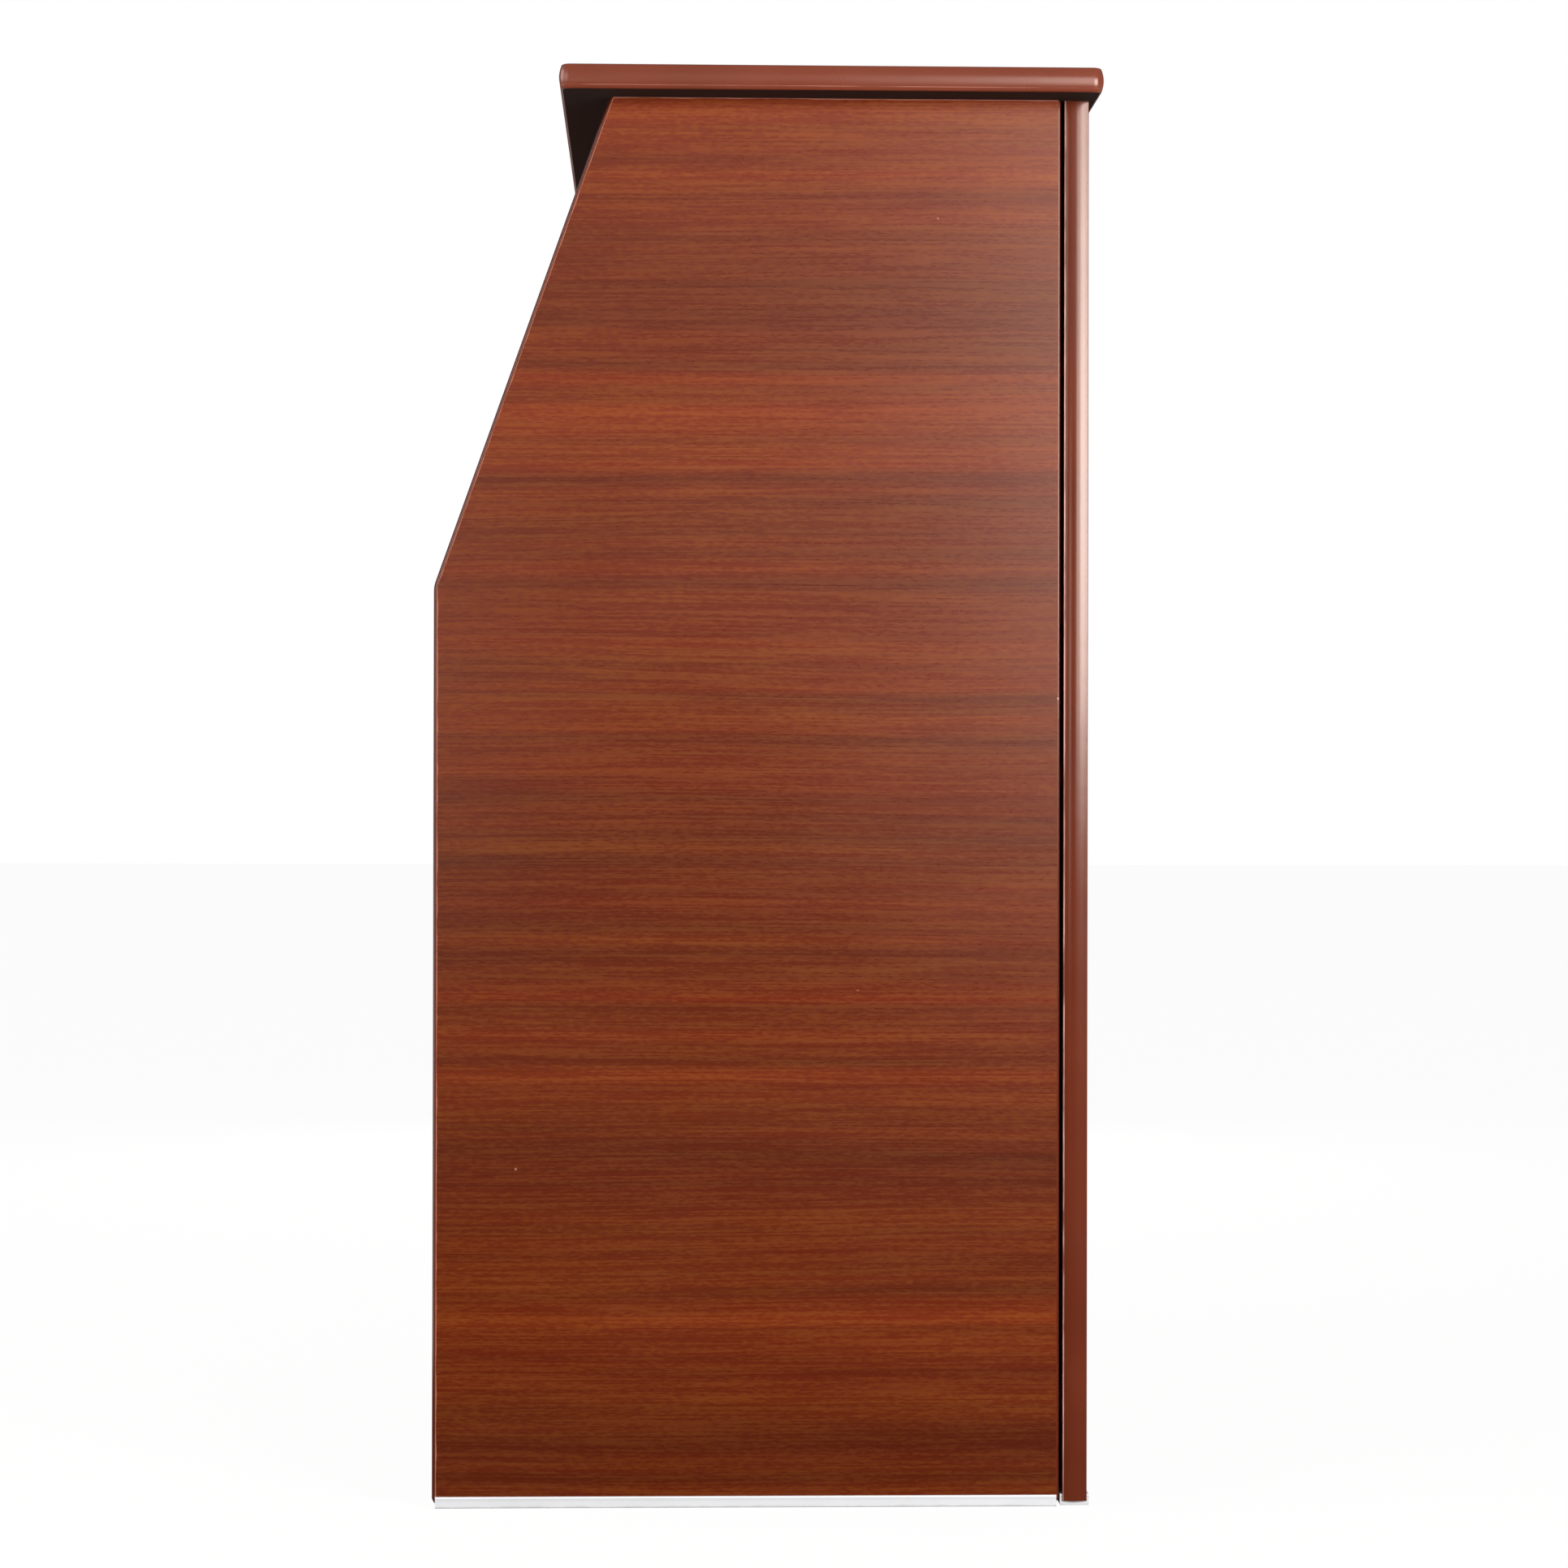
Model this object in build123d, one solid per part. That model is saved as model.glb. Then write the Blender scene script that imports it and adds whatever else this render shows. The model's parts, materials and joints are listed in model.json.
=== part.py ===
from build123d import *
import os
from math import atan2, cos, hypot, sin, sqrt, tan

os.makedirs("parts", exist_ok=True)

# Slant-front secretary desk in laminated board, edged with T-moulding.
# Millimetres. +Z up, -Y towards the person writing, +X to that person's right.
# The origin is on the floor, under the middle of the desk's own box.

# ---------------------------------------------------------------- driving sizes
BOARD = 19.0               # laminated chipboard of the carcass, the fronts and the top
THIN_BOARD = 12.0          # board of the letter racks and the drawer box

TOP_LENGTH = 914.0         # top board over its moulding
TOP_SIDE_OVERHANG = 38.0   # top past the outer face of each side
TOP_FRONT_OVERHANG = 38.0  # top past the upper end of the slant
TOP_REAR_OVERHANG = 8.0    # top past the outer face of the back
TOP_CORNER = 6.0           # radius of the top board's corners in plan
SIDE_DEPTH = 487.0         # side over its front and rear mouldings
SIDE_HEIGHT = 1092.0       # floor to the underside of the top
KNEE_HEIGHT = 713.0        # floor to where the side starts to lean back
SLANT_SETBACK = 135.0      # how far the side leans back by the time it meets the top
KNEE_RADIUS = 20.0         # rounding of the side where the slant starts
REVEAL = 2.0               # shadow gap between the side's rear moulding and the back

# T-moulding: a domed plastic edge with a barbed tongue in a saw kerf.
MOULD_CROWN = 3.0          # board edge to the top of the dome
MOULD_SHOULDER = 0.8       # straight flank before the dome starts
MOULD_ARRIS = 0.7          # rounding between flank and dome
MOULD_TRIM = 0.5           # how far the moulding stops short of the board's end
TONGUE_LENGTH = 9.0
TONGUE_CORE = 1.5          # thickness of the tongue between its barbs
BARBS = 3
BARB_PITCH = 2.4
BARB_START = 1.2           # board edge to the first barb
BARB_LENGTH = 1.6
KERF_WIDTH = 2.4
KERF_DEPTH = 10.0

# Plastic floor channels pushed over the lower edges of the sides and the back.
SHOE_BASE = 3.2
SHOE_WALL = 1.8
SHOE_HEIGHT = 8.8
SHOE_ROUND = 1.0

# Heights of the carcass.
PLINTH_BOTTOM = 12.0
BOTTOM_PANEL_Z = 72.0      # underside of the cupboard's floor
PLINTH_SETBACK = 50.0      # toe space in front of the plinth
DRAWER_SPACE = 110.0       # clear height between the middle board and the writing board
WRITING_DROP = 7.0         # writing surface below the knee of the sides
SHELF_LIFT = 219.0         # cupboard floor to the underside of the loose shelf
SHELF_SIDE_GAP = 1.0
SHELF_REAR_GAP = 3.0
SHELF_SETBACK = 12.0       # loose shelf behind the doors' inner faces

# Fronts, set between the sides.
FRONT_INSET = 3.0          # faces of the fronts behind the sides' front edges
FRONT_GAP = 3.0            # gap round the doors and the drawer front
LID_SIDE_GAP = 2.5
LID_SWING_GAP = 3.0        # lid's upper corner to the top board as it swings past
EDGING = 2.0               # plastic edging of the lid, the doors and the drawer front
EDGING_ROUND = 0.8         # rounding of the edging's arrises
DRAWER_TOP_GAP = 3.0       # drawer front below the opened lid

# Continuous hinges: rolled knuckles round a pin.
HINGE_RADIUS = 2.0
HINGE_PIN_RADIUS = 1.0
HINGE_RUNNING_FIT = 0.05   # radial play of the turning knuckles on the pin
HINGE_LEAF = 0.8
HINGE_LEAF_WIDTH = 16.0    # pin to the leaf's free edge
HINGE_CLEARANCE = 0.3      # knuckle to the board edges and knuckle to knuckle
LID_HINGE_MARGIN = 7.5     # end of the lid's hinge to the end of the lid
LID_KNUCKLES = 13
DOOR_HINGE_MARGIN = 10.5
DOOR_KNUCKLES = 7

# Flush pulls let into the fronts.
PULL_LENGTH = 104.0
PULL_HEIGHT = 34.0
PULL_FLANGE = 1.2
PULL_RIM = 6.0             # flange beyond the cup
PULL_DEPTH = 11.0
PULL_WALL = 1.8
PULL_ROUND = 4.0
PULL_PLAY = 0.2            # cup in its pocket
LID_PULL_DROP = 46.0       # lid's upper edge to the middle of its pull
DOOR_PULL_DROP = 90.0      # door's upper edge to the middle of its pull
DOOR_PULL_INSET = 36.0     # door's free edge to the middle of its pull

# Lopers: the bars that pull out to carry the opened lid.
LOPER_PLAY = 0.5           # loper to the boards beside it
LOPER_LIFT = 0.4           # loper to the boards above and below it
LOPER_REAR_GAP = 30.0      # loper's rear end to the back
LOPER_TRAVEL = 250.0
LOPER_FACE = 24.0          # block on the front of a loper
LOPER_SCOOP_RADIUS = 11.0
LOPER_SCOOP_DEPTH = 9.0
PEG_RADIUS = 4.0
PEG_HEIGHT = 7.0           # stop peg above the loper
PEG_SINK = 15.0            # stop peg down in the loper
PEG_SETBACK = 15.0         # loper's rear end to the peg
PEG_PLAY = 0.4
GROOVE_DEPTH = 8.0

# Drawer and its steel runners.
DRAWER_TRAVEL = 300.0
DRAWER_REAR_GAP = 46.0     # drawer box to the back
DRAWER_SIDE_HEIGHT = 75.0
DRAWER_SIDE_LIFT = 13.0    # middle board to the drawer sides
DRAWER_BOTTOM = 5.0
DRAWER_BOTTOM_LIFT = 6.0   # drawer sides' lower edge to the drawer bottom
DRAWER_GROOVE = 6.0
RUNNER_SPACE = 12.7        # partition to drawer side
RUNNER_END_GAP = 19.0      # runner's rear end short of the drawer box's
RUNNER_STEEL = 1.2
RUNNER_HEIGHT = 35.0
RUNNER_FLANGE = 8.4
SLIDER_FLANGE = 9.9
RUNNER_PLAY = 0.8
PARTITION_END_GAP = 15.0   # rear end of a partition to the back
PARTITION_FRONT_GAP = 1.0  # partition behind the drawer front

# Letter racks on the writing board.
RACK_SETBACK = 62.5        # upper end of the slant to the front of the racks
RACK_BAY_HEIGHT = 174.0    # writing surface to the underside of the rack shelf
UPPER_RACK_SETBACK = 30.0  # upper dividers behind the lower ones
LOWER_DIVIDERS = 3
UPPER_DIVIDERS = 2
SCOOP_SAG = 28.0           # depth of the curve cut into a divider's front edge
SCOOP_MARGIN = 22.0        # straight part above and below that curve

# Small fittings.
STOP_RAIL_HEIGHT = 45.0
STOP_GAP = 0.3             # closed lid to the rail it stops against
CATCH_LENGTH = 46.0
CATCH_HEIGHT = 13.0
CATCH_DEPTH = 14.0
CATCH_GAP = 0.3            # strike plate to the catch
STRIKE_THICKNESS = 1.2
STRIKE_LENGTH = 38.0
STRIKE_HEIGHT = 12.0
STRIKE_INSET = 5.0         # door's free edge to its strike
STRIKE_DROP = 9.0          # door's upper edge to the middle of its strike
PIN_RADIUS = 2.5
PIN_SINK = 10.0
PIN_REACH = 9.0
PIN_SPADE = 2.0            # flat plate of a shelf pin
PIN_SPADE_WIDTH = 11.0
PIN_INSET = 70.0           # shelf's front and rear edges to its pins
PIN_PITCH = 32.0
PIN_HOLES = 3              # holes in each row
BRACKET_LEG = 25.0
BRACKET_WIDTH = 20.0
BRACKET_STEEL = 1.5
BRACKET_INSET = 70.0       # middle of the rear angle to the back
BRACKET_BEHIND = 35.0      # middle of the front angle behind the front of the racks

# ---------------------------------------------------------------- derived places
side_inner = TOP_LENGTH / 2 - TOP_SIDE_OVERHANG - BOARD
side_outer = side_inner + BOARD
overall_depth = SIDE_DEPTH + REVEAL + BOARD + TOP_REAR_OVERHANG
front = -overall_depth / 2
face = front + FRONT_INSET
board_front = front + MOULD_CROWN
board_rear = front + SIDE_DEPTH - MOULD_CROWN
back_inner = front + SIDE_DEPTH + REVEAL
back_end = side_outer - MOULD_CROWN
slant = atan2(SIDE_HEIGHT - KNEE_HEIGHT, SLANT_SETBACK)
hinge_edge = HINGE_RADIUS + HINGE_CLEARANCE
shelf_front = face + MOULD_CROWN


def slant_y(z, inset):
    """Y of the line that runs inset inside the sides' sloping outline, at height z."""
    return front + (z - KNEE_HEIGHT) / tan(slant) + inset / sin(slant)


writing_height = KNEE_HEIGHT - WRITING_DROP
hinge_y = slant_y(writing_height, FRONT_INSET + BOARD)
top_front = front + SLANT_SETBACK - TOP_FRONT_OVERHANG
top_rear = front + overall_depth
swing_radius = hypot(SIDE_HEIGHT - writing_height, top_front - hinge_y) - LID_SWING_GAP
lid_length = sqrt(swing_radius**2 - BOARD**2)
lid_width = 2 * (side_inner - LID_SIDE_GAP)
lid_pull_up = lid_length - LID_PULL_DROP
lid_hinge_length = lid_width - 2 * LID_HINGE_MARGIN
lid_catch_x = side_inner / 2
lid_place = Plane(
    origin=(0, hinge_y, writing_height), x_dir=(1, 0, 0), z_dir=(0, -sin(slant), cos(slant))
).location

top_half_x = TOP_LENGTH / 2 - MOULD_CROWN
top_half_y = (top_rear - top_front) / 2 - MOULD_CROWN
top_middle = (top_rear + top_front) / 2
top_outline = RectangleRounded(2 * top_half_x, 2 * top_half_y, TOP_CORNER)

writing_underside = writing_height - BOARD
middle_top = writing_underside - DRAWER_SPACE
middle_underside = middle_top - BOARD
floor_top = BOTTOM_PANEL_Z + BOARD
shelf_underside = floor_top + SHELF_LIFT

rack_front = front + SLANT_SETBACK + RACK_SETBACK
rack_shelf_z = writing_height + RACK_BAY_HEIGHT

loper_x = side_inner - LOPER_PLAY - BOARD / 2
loper_rear = back_inner - LOPER_REAR_GAP
peg_y = loper_rear - PEG_SETBACK
partition_inner = side_inner - 2 * LOPER_PLAY - 2 * BOARD
drawer_half_width = side_inner - LOPER_PLAY - BOARD - FRONT_GAP
drawer_low = middle_top + FRONT_GAP
drawer_high = writing_underside - DRAWER_TOP_GAP
drawer_side_low = middle_top + DRAWER_SIDE_LIFT
drawer_side_inner = partition_inner - RUNNER_SPACE - THIN_BOARD
box_front = face + BOARD
box_rear = back_inner - DRAWER_REAR_GAP
runner_z = drawer_side_low + DRAWER_SIDE_HEIGHT / 2

door_free = FRONT_GAP / 2
door_hinged = side_inner - 2 * hinge_edge
door_low = floor_top + FRONT_GAP
door_high = middle_underside - FRONT_GAP
door_width = door_hinged - door_free
door_height = door_high - door_low
door_hinge_length = door_height - 2 * DOOR_HINGE_MARGIN


# ---------------------------------------------------------------- shapes used throughout
def block(x, y, z):
    """A straight board between two X, two Y and two Z limits."""
    middle = Pos((x[0] + x[1]) / 2, (y[0] + y[1]) / 2, (z[0] + z[1]) / 2)
    return middle * Box(x[1] - x[0], y[1] - y[0], z[1] - z[0])


def profile_along_x(points, x):
    """A Y-Z outline carried straight along X."""
    outline = Polygon(*points, align=None)
    return extrude(Plane.YZ.offset(x[0]) * outline, amount=x[1] - x[0], dir=(1, 0, 0))


def other_side(shape):
    """Mirror image about the desk's middle plane."""
    return mirror(shape, about=Plane.YZ)


def group(*pieces):
    """Separate pieces that share one node."""
    return Compound(children=[solid for piece in pieces for solid in piece.solids()])


def both_sides(shape):
    return group(shape, other_side(shape))


# ---------------------------------------------------------------- T-moulding
def crown_section():
    """Section of the domed part: X across the board's edge, Y away from the board."""
    half = BOARD / 2
    flanks = Polyline((-half, MOULD_SHOULDER), (-half, 0), (half, 0), (half, MOULD_SHOULDER))
    dome = ThreePointArc((half, MOULD_SHOULDER), (0, MOULD_CROWN), (-half, MOULD_SHOULDER))
    section = make_face(flanks + dome)
    arrises = [v for v in section.vertices() if v.Y > MOULD_SHOULDER / 2]
    return fillet(arrises, MOULD_ARRIS)


def tongue_section():
    """Section of the tongue: barbs that slope towards its tip fill the kerf's width."""
    core = TONGUE_CORE / 2
    tip = KERF_WIDTH / 2
    side = [(core, -TONGUE_LENGTH)]
    for barb in reversed(range(BARBS)):
        shoulder = -(BARB_START + barb * BARB_PITCH)
        side += [(core, shoulder - BARB_LENGTH), (tip, shoulder), (core, shoulder)]
    side += [(core, 0)]
    mirrored = [(-x, y) for x, y in reversed(side)]
    return Polygon(*side, *mirrored, align=None)


def moulding_section():
    return crown_section() + tongue_section()


def kerf_section():
    """Saw kerf for the tongue, drawn a little past the board's edge."""
    return Pos(0, (MOULD_CROWN - KERF_DEPTH) / 2) * Rectangle(KERF_WIDTH, KERF_DEPTH + MOULD_CROWN)


def edge_plane(origin, outward, along):
    """Plane of a section on a board's edge: its Y points away from the board."""
    return Plane(origin=origin, x_dir=Vector(*outward).cross(Vector(*along)), z_dir=along)


def straight_run(plane, section, length):
    return extrude(plane * section, amount=length, dir=plane.z_dir)


# ---------------------------------------------------------------- sides
def side_front_points(overrun):
    """Y and Z of the side board's front edge: foot, knee and head, run on past both ends."""
    drop = MOULD_CROWN * (1 / cos(slant) - tan(slant))
    head_z = SIDE_HEIGHT + overrun
    foot = (board_front, SHOE_BASE - overrun)
    knee = (board_front, KNEE_HEIGHT - drop)
    return foot, knee, (slant_y(head_z, MOULD_CROWN), head_z)


def run_on_side_front(section):
    """A section carried up the right side's front edge, round the knee and up the slant."""
    middle = (side_inner + side_outer) / 2
    points = [(middle, y, z) for y, z in side_front_points(MOULD_CROWN)]
    path = FilletPolyline(*points, radius=KNEE_RADIUS)
    return sweep(edge_plane(points[0], (0, -1, 0), (0, 0, 1)) * section, path=path)


def run_on_side_rear(section):
    middle = (side_inner + side_outer) / 2
    return straight_run(edge_plane((middle, board_rear, 0), (0, 1, 0), (0, 0, 1)), section, SIDE_HEIGHT)


def pin_rows():
    """Y of the front and rear rows of pin holes in the sides."""
    return face + BOARD + SHELF_SETBACK + PIN_INSET, back_inner - SHELF_REAR_GAP - PIN_INSET


def side_panel():
    """Right side board: upright front, slant from the knee, kerfs for its two mouldings."""
    foot, knee, head = side_front_points(0)
    front_edge = FilletPolyline(foot, knee, head, radius=KNEE_RADIUS)
    rest = Polyline(head, (board_rear, SIDE_HEIGHT), (board_rear, SHOE_BASE), foot)
    outline = make_face(front_edge + rest)
    board = extrude(Plane.YZ.offset(side_inner) * outline, amount=BOARD, dir=(1, 0, 0))
    board -= run_on_side_front(kerf_section())
    board -= run_on_side_rear(kerf_section())
    hole = Rot(0, 90, 0) * Cylinder(PIN_RADIUS, 2 * PIN_SINK)
    for y in pin_rows():
        for step in range(PIN_HOLES):
            z = shelf_underside - PIN_RADIUS + (step - PIN_HOLES // 2) * PIN_PITCH
            board -= Pos(side_inner, y, z) * hole
    return board


def trimmed(moulding, edge, outward):
    """Cut an upright moulding off at both ends, its foot sloped back towards the board."""
    low = SHOE_BASE + MOULD_TRIM
    reach = 2 * MOULD_CROWN
    across = (-TOP_LENGTH / 2, TOP_LENGTH / 2)
    kept = moulding & block(across, (front, top_rear), (low, SIDE_HEIGHT - MOULD_TRIM))
    slope = [(edge, low), (edge + outward * reach, low + reach), (edge + outward * reach, low)]
    return kept - profile_along_x(slope, across)


def side_front_moulding():
    return trimmed(run_on_side_front(moulding_section()), board_front, -1)


def side_rear_moulding():
    return trimmed(run_on_side_rear(moulding_section()), board_rear, 1)


# ---------------------------------------------------------------- back
def run_on_back_end(section, low, high):
    plane = edge_plane((back_end, back_inner + BOARD / 2, low), (1, 0, 0), (0, 0, 1))
    return straight_run(plane, section, high - low)


def back_panel():
    """Full-height back, laminated on both faces, standing clear of the sides."""
    board = block((-back_end, back_end), (back_inner, back_inner + BOARD), (SHOE_BASE, SIDE_HEIGHT))
    kerf = run_on_back_end(kerf_section(), 0, SIDE_HEIGHT)
    return board - kerf - other_side(kerf)


def back_moulding():
    return run_on_back_end(moulding_section(), SHOE_BASE + MOULD_TRIM, SIDE_HEIGHT - MOULD_TRIM)


# ---------------------------------------------------------------- top
def top_panel():
    """Top board with rounded corners and a kerf all round its edge."""
    board = extrude(Pos(0, top_middle, SIDE_HEIGHT) * top_outline, amount=BOARD, dir=(0, 0, 1))
    whole = Rectangle(2 * top_half_x, 2 * top_half_y)
    uncut = Rectangle(2 * (top_half_x - KERF_DEPTH), 2 * (top_half_y - KERF_DEPTH))
    kerf = extrude(whole - uncut, amount=KERF_WIDTH, dir=(0, 0, 1))
    return board - Pos(0, top_middle, SIDE_HEIGHT + (BOARD - KERF_WIDTH) / 2) * kerf


def top_moulding():
    """Moulding bent round the whole top, its tongue notched away at the four corners."""
    level = SIDE_HEIGHT + BOARD / 2
    path = (Pos(0, top_middle, level) * top_outline).wire()
    outward = (path % 0).cross(Vector(0, 0, 1))
    ring = sweep(edge_plane(path @ 0, outward, path % 0) * crown_section(), path=path)
    notch = TOP_CORNER + TONGUE_LENGTH
    edges = ((Vector(1, 0, 0), top_half_x, top_half_y), (Vector(0, 1, 0), top_half_y, top_half_x))
    for outward, half, along in edges:
        for sign in (-1, 1):
            facing = outward * sign
            run = Vector(0, 0, 1).cross(facing)
            start = Vector(0, top_middle, level) + facing * half - run * (along - notch)
            ring += straight_run(edge_plane(start, facing, run), tongue_section(), 2 * (along - notch))
    return ring


# ---------------------------------------------------------------- floor channels
def shoe_section():
    """Channel section, open upwards, its mouth as wide as a board."""
    outside = Pos(0, SHOE_HEIGHT / 2) * Rectangle(BOARD + 2 * SHOE_WALL, SHOE_HEIGHT)
    outside = fillet([v for v in outside.vertices() if v.Y < SHOE_BASE], SHOE_ROUND)
    return outside - Pos(0, SHOE_BASE + SHOE_HEIGHT / 2) * Rectangle(BOARD, SHOE_HEIGHT)


def side_floor_channel():
    plane = edge_plane(((side_inner + side_outer) / 2, board_front, 0), (0, 0, 1), (0, 1, 0))
    return straight_run(plane, shoe_section(), board_rear - board_front)


def back_floor_channel():
    plane = edge_plane((-back_end, back_inner + BOARD / 2, 0), (0, 0, 1), (1, 0, 0))
    return straight_run(plane, shoe_section(), 2 * back_end)


# ---------------------------------------------------------------- boards between the sides
def edged_board(low):
    """Board across the carcass from its front moulding to the back."""
    board = block((-side_inner, side_inner), (shelf_front, back_inner), (low, low + BOARD))
    return board - run_on_shelf(kerf_section(), low)


def run_on_shelf(section, low):
    plane = edge_plane((-side_inner, shelf_front, low + BOARD / 2), (0, -1, 0), (1, 0, 0))
    return straight_run(plane, section, 2 * side_inner)


def shelf_mouldings():
    runs = [run_on_shelf(moulding_section(), low) for low in (BOTTOM_PANEL_Z, middle_underside)]
    return group(*runs)


def plinth_board():
    depth = (front + PLINTH_SETBACK, front + PLINTH_SETBACK + BOARD)
    return block((-side_inner, side_inner), depth, (PLINTH_BOTTOM, BOTTOM_PANEL_Z))


def writing_board():
    """Writing surface, rebated for its hinge leaf and grooved below for the stop pegs."""
    board_edge = hinge_y + hinge_edge
    depth = (board_edge, back_inner)
    board = block((-side_inner, side_inner), depth, (writing_underside, writing_height))
    leaf_x = (-lid_hinge_length / 2, lid_hinge_length / 2)
    leaf_y = (board_edge, hinge_y + HINGE_LEAF_WIDTH)
    board -= block(leaf_x, leaf_y, (writing_height - HINGE_LEAF, writing_height))
    reach = PEG_RADIUS + PEG_PLAY
    groove_y = (peg_y - LOPER_TRAVEL - reach, peg_y + reach)
    groove_z = (writing_underside, writing_underside + GROOVE_DEPTH)
    groove = block((loper_x - reach, loper_x + reach), groove_y, groove_z)
    return board - groove - other_side(groove)


def adjustable_shelf():
    depth = (face + BOARD + SHELF_SETBACK, back_inner - SHELF_REAR_GAP)
    width = side_inner - SHELF_SIDE_GAP
    return block((-width, width), depth, (shelf_underside, shelf_underside + BOARD))


def shelf_pins():
    """Pins with a flat spade on top, the shelf resting on the spades."""
    pins = []
    for y in pin_rows():
        shaft = Rot(0, 90, 0) * Cylinder(PIN_RADIUS, PIN_SINK + PIN_REACH)
        shaft = Pos(side_inner + (PIN_SINK - PIN_REACH) / 2, y, shelf_underside - PIN_RADIUS) * shaft
        width = (y - PIN_SPADE_WIDTH / 2, y + PIN_SPADE_WIDTH / 2)
        height = (shelf_underside - PIN_SPADE, shelf_underside)
        spade = block((side_inner - PIN_REACH, side_inner), width, height)
        pins.append(both_sides(shaft + spade))
    return group(*pins)


# ---------------------------------------------------------------- letter racks
def rack_divider(x, start, low, high):
    """Upright divider with a shallow curve cut into its front edge."""
    foot = (start, low)
    lower = (start, low + SCOOP_MARGIN)
    upper = (start, high - SCOOP_MARGIN)
    waist = (start + SCOOP_SAG, (low + high) / 2)
    edge = Line(foot, lower) + ThreePointArc(lower, waist, upper)
    rest = Polyline(upper, (start, high), (back_inner, high), (back_inner, low), foot)
    plane = Plane.YZ.offset(x - THIN_BOARD / 2)
    return extrude(plane * make_face(edge + rest), amount=THIN_BOARD, dir=(1, 0, 0))


def evenly_across(count):
    bay = 2 * side_inner / (count + 1)
    return [bay * (index + 1) - side_inner for index in range(count)]


def rack_shelf():
    width = (-side_inner, side_inner)
    return block(width, (rack_front, back_inner), (rack_shelf_z, rack_shelf_z + THIN_BOARD))


def lower_dividers():
    places = evenly_across(LOWER_DIVIDERS)
    return group(*[rack_divider(x, rack_front, writing_height, rack_shelf_z) for x in places])


def upper_dividers():
    start = rack_front + UPPER_RACK_SETBACK
    places = evenly_across(UPPER_DIVIDERS)
    return group(*[rack_divider(x, start, rack_shelf_z + THIN_BOARD, SIDE_HEIGHT) for x in places])


def lid_stop_rail():
    """Strip under the top that the closed lid leans against, parallel to the lid."""
    low = SIDE_HEIGHT - STOP_RAIL_HEIGHT
    inset = FRONT_INSET + BOARD + STOP_GAP
    near = [(slant_y(low, inset), low), (slant_y(SIDE_HEIGHT, inset), SIDE_HEIGHT)]
    far = [(slant_y(SIDE_HEIGHT, inset + BOARD), SIDE_HEIGHT), (slant_y(low, inset + BOARD), low)]
    return profile_along_x(near + far, (-side_inner, side_inner))


# ---------------------------------------------------------------- steel angles under the top
def top_bracket(y):
    """Angle between the right side's inner face and the underside of the top."""
    width = (y - BRACKET_WIDTH / 2, y + BRACKET_WIDTH / 2)
    leg = block((side_inner - BRACKET_LEG, side_inner), width, (SIDE_HEIGHT - BRACKET_STEEL, SIDE_HEIGHT))
    upright = (side_inner - BRACKET_STEEL, side_inner)
    return leg + block(upright, width, (SIDE_HEIGHT - BRACKET_LEG, SIDE_HEIGHT))


def top_brackets():
    places = (rack_front + BRACKET_BEHIND, back_inner - BRACKET_INSET)
    return group(*[both_sides(top_bracket(y)) for y in places])


# ---------------------------------------------------------------- continuous hinge
def hinge_leaf(length, knuckles, own, bore, lift):
    """One leaf with every second knuckle: pin along X, leaf towards +Y, its face at height lift."""
    pitch = length / knuckles
    leaf = block((-length / 2, length / 2), (hinge_edge, HINGE_LEAF_WIDTH), (lift, lift + HINGE_LEAF))
    for index in range(own, knuckles, 2):
        low = -length / 2 + index * pitch + HINGE_CLEARANCE / 2
        high = low + pitch - HINGE_CLEARANCE
        barrel = Rot(0, 90, 0) * Cylinder(HINGE_RADIUS, high - low)
        leaf += Pos((low + high) / 2, 0, 0) * barrel
        leaf += block((low, high), (0, hinge_edge), (lift, lift + HINGE_LEAF))
    return leaf - Rot(0, 90, 0) * Cylinder(bore, length + 1)


def hinge_pin(length):
    return Rot(0, 90, 0) * Cylinder(HINGE_PIN_RADIUS, length)


# ---------------------------------------------------------------- flush pull
def pull_outline(shrink):
    """Rounded outline of the pull, drawn smaller by shrink all round."""
    radius = PULL_ROUND + PULL_RIM - shrink
    return RectangleRounded(PULL_LENGTH - 2 * shrink, PULL_HEIGHT - 2 * shrink, max(radius, PULL_WALL))


def flush_pull():
    """Pull cup seen from the front of a board: flange on its face, cup in its pocket."""
    flange = extrude(pull_outline(0), amount=PULL_FLANGE, dir=(0, 0, 1))
    flange = chamfer(flange.faces().sort_by(Axis.Z)[-1].edges(), PULL_FLANGE / 2)
    cup = extrude(pull_outline(PULL_RIM), amount=PULL_DEPTH, dir=(0, 0, -1))
    hollow_depth = PULL_DEPTH - PULL_WALL + PULL_FLANGE
    hollow = extrude(pull_outline(PULL_RIM + PULL_WALL), amount=hollow_depth, dir=(0, 0, -1))
    return flange + cup - Pos(0, 0, PULL_FLANGE) * hollow


def pull_pocket():
    return extrude(pull_outline(PULL_RIM - PULL_PLAY), amount=PULL_DEPTH + PULL_PLAY, dir=(0, 0, -1))


# ---------------------------------------------------------------- edged fronts
def front_core(width, height):
    """Board of a front inside its edging: X across, Y up, front face at Z 0."""
    size = (width - 2 * EDGING, height - 2 * EDGING)
    return extrude(Rectangle(*size), amount=BOARD, dir=(0, 0, -1))


def front_edging(width, height):
    """Plastic edging round a front, its outer arrises rounded."""
    ring = extrude(Rectangle(width, height), amount=BOARD, dir=(0, 0, -1))
    faces = ring.faces().sort_by(Axis.Z)
    ring = fillet(faces[0].edges() + faces[-1].edges(), EDGING_ROUND)
    return ring - front_core(width, height)


def strike_plate():
    """Thin steel plate let into the inner face of a front, flush with it."""
    return Box(STRIKE_LENGTH, STRIKE_HEIGHT, STRIKE_THICKNESS)


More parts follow.
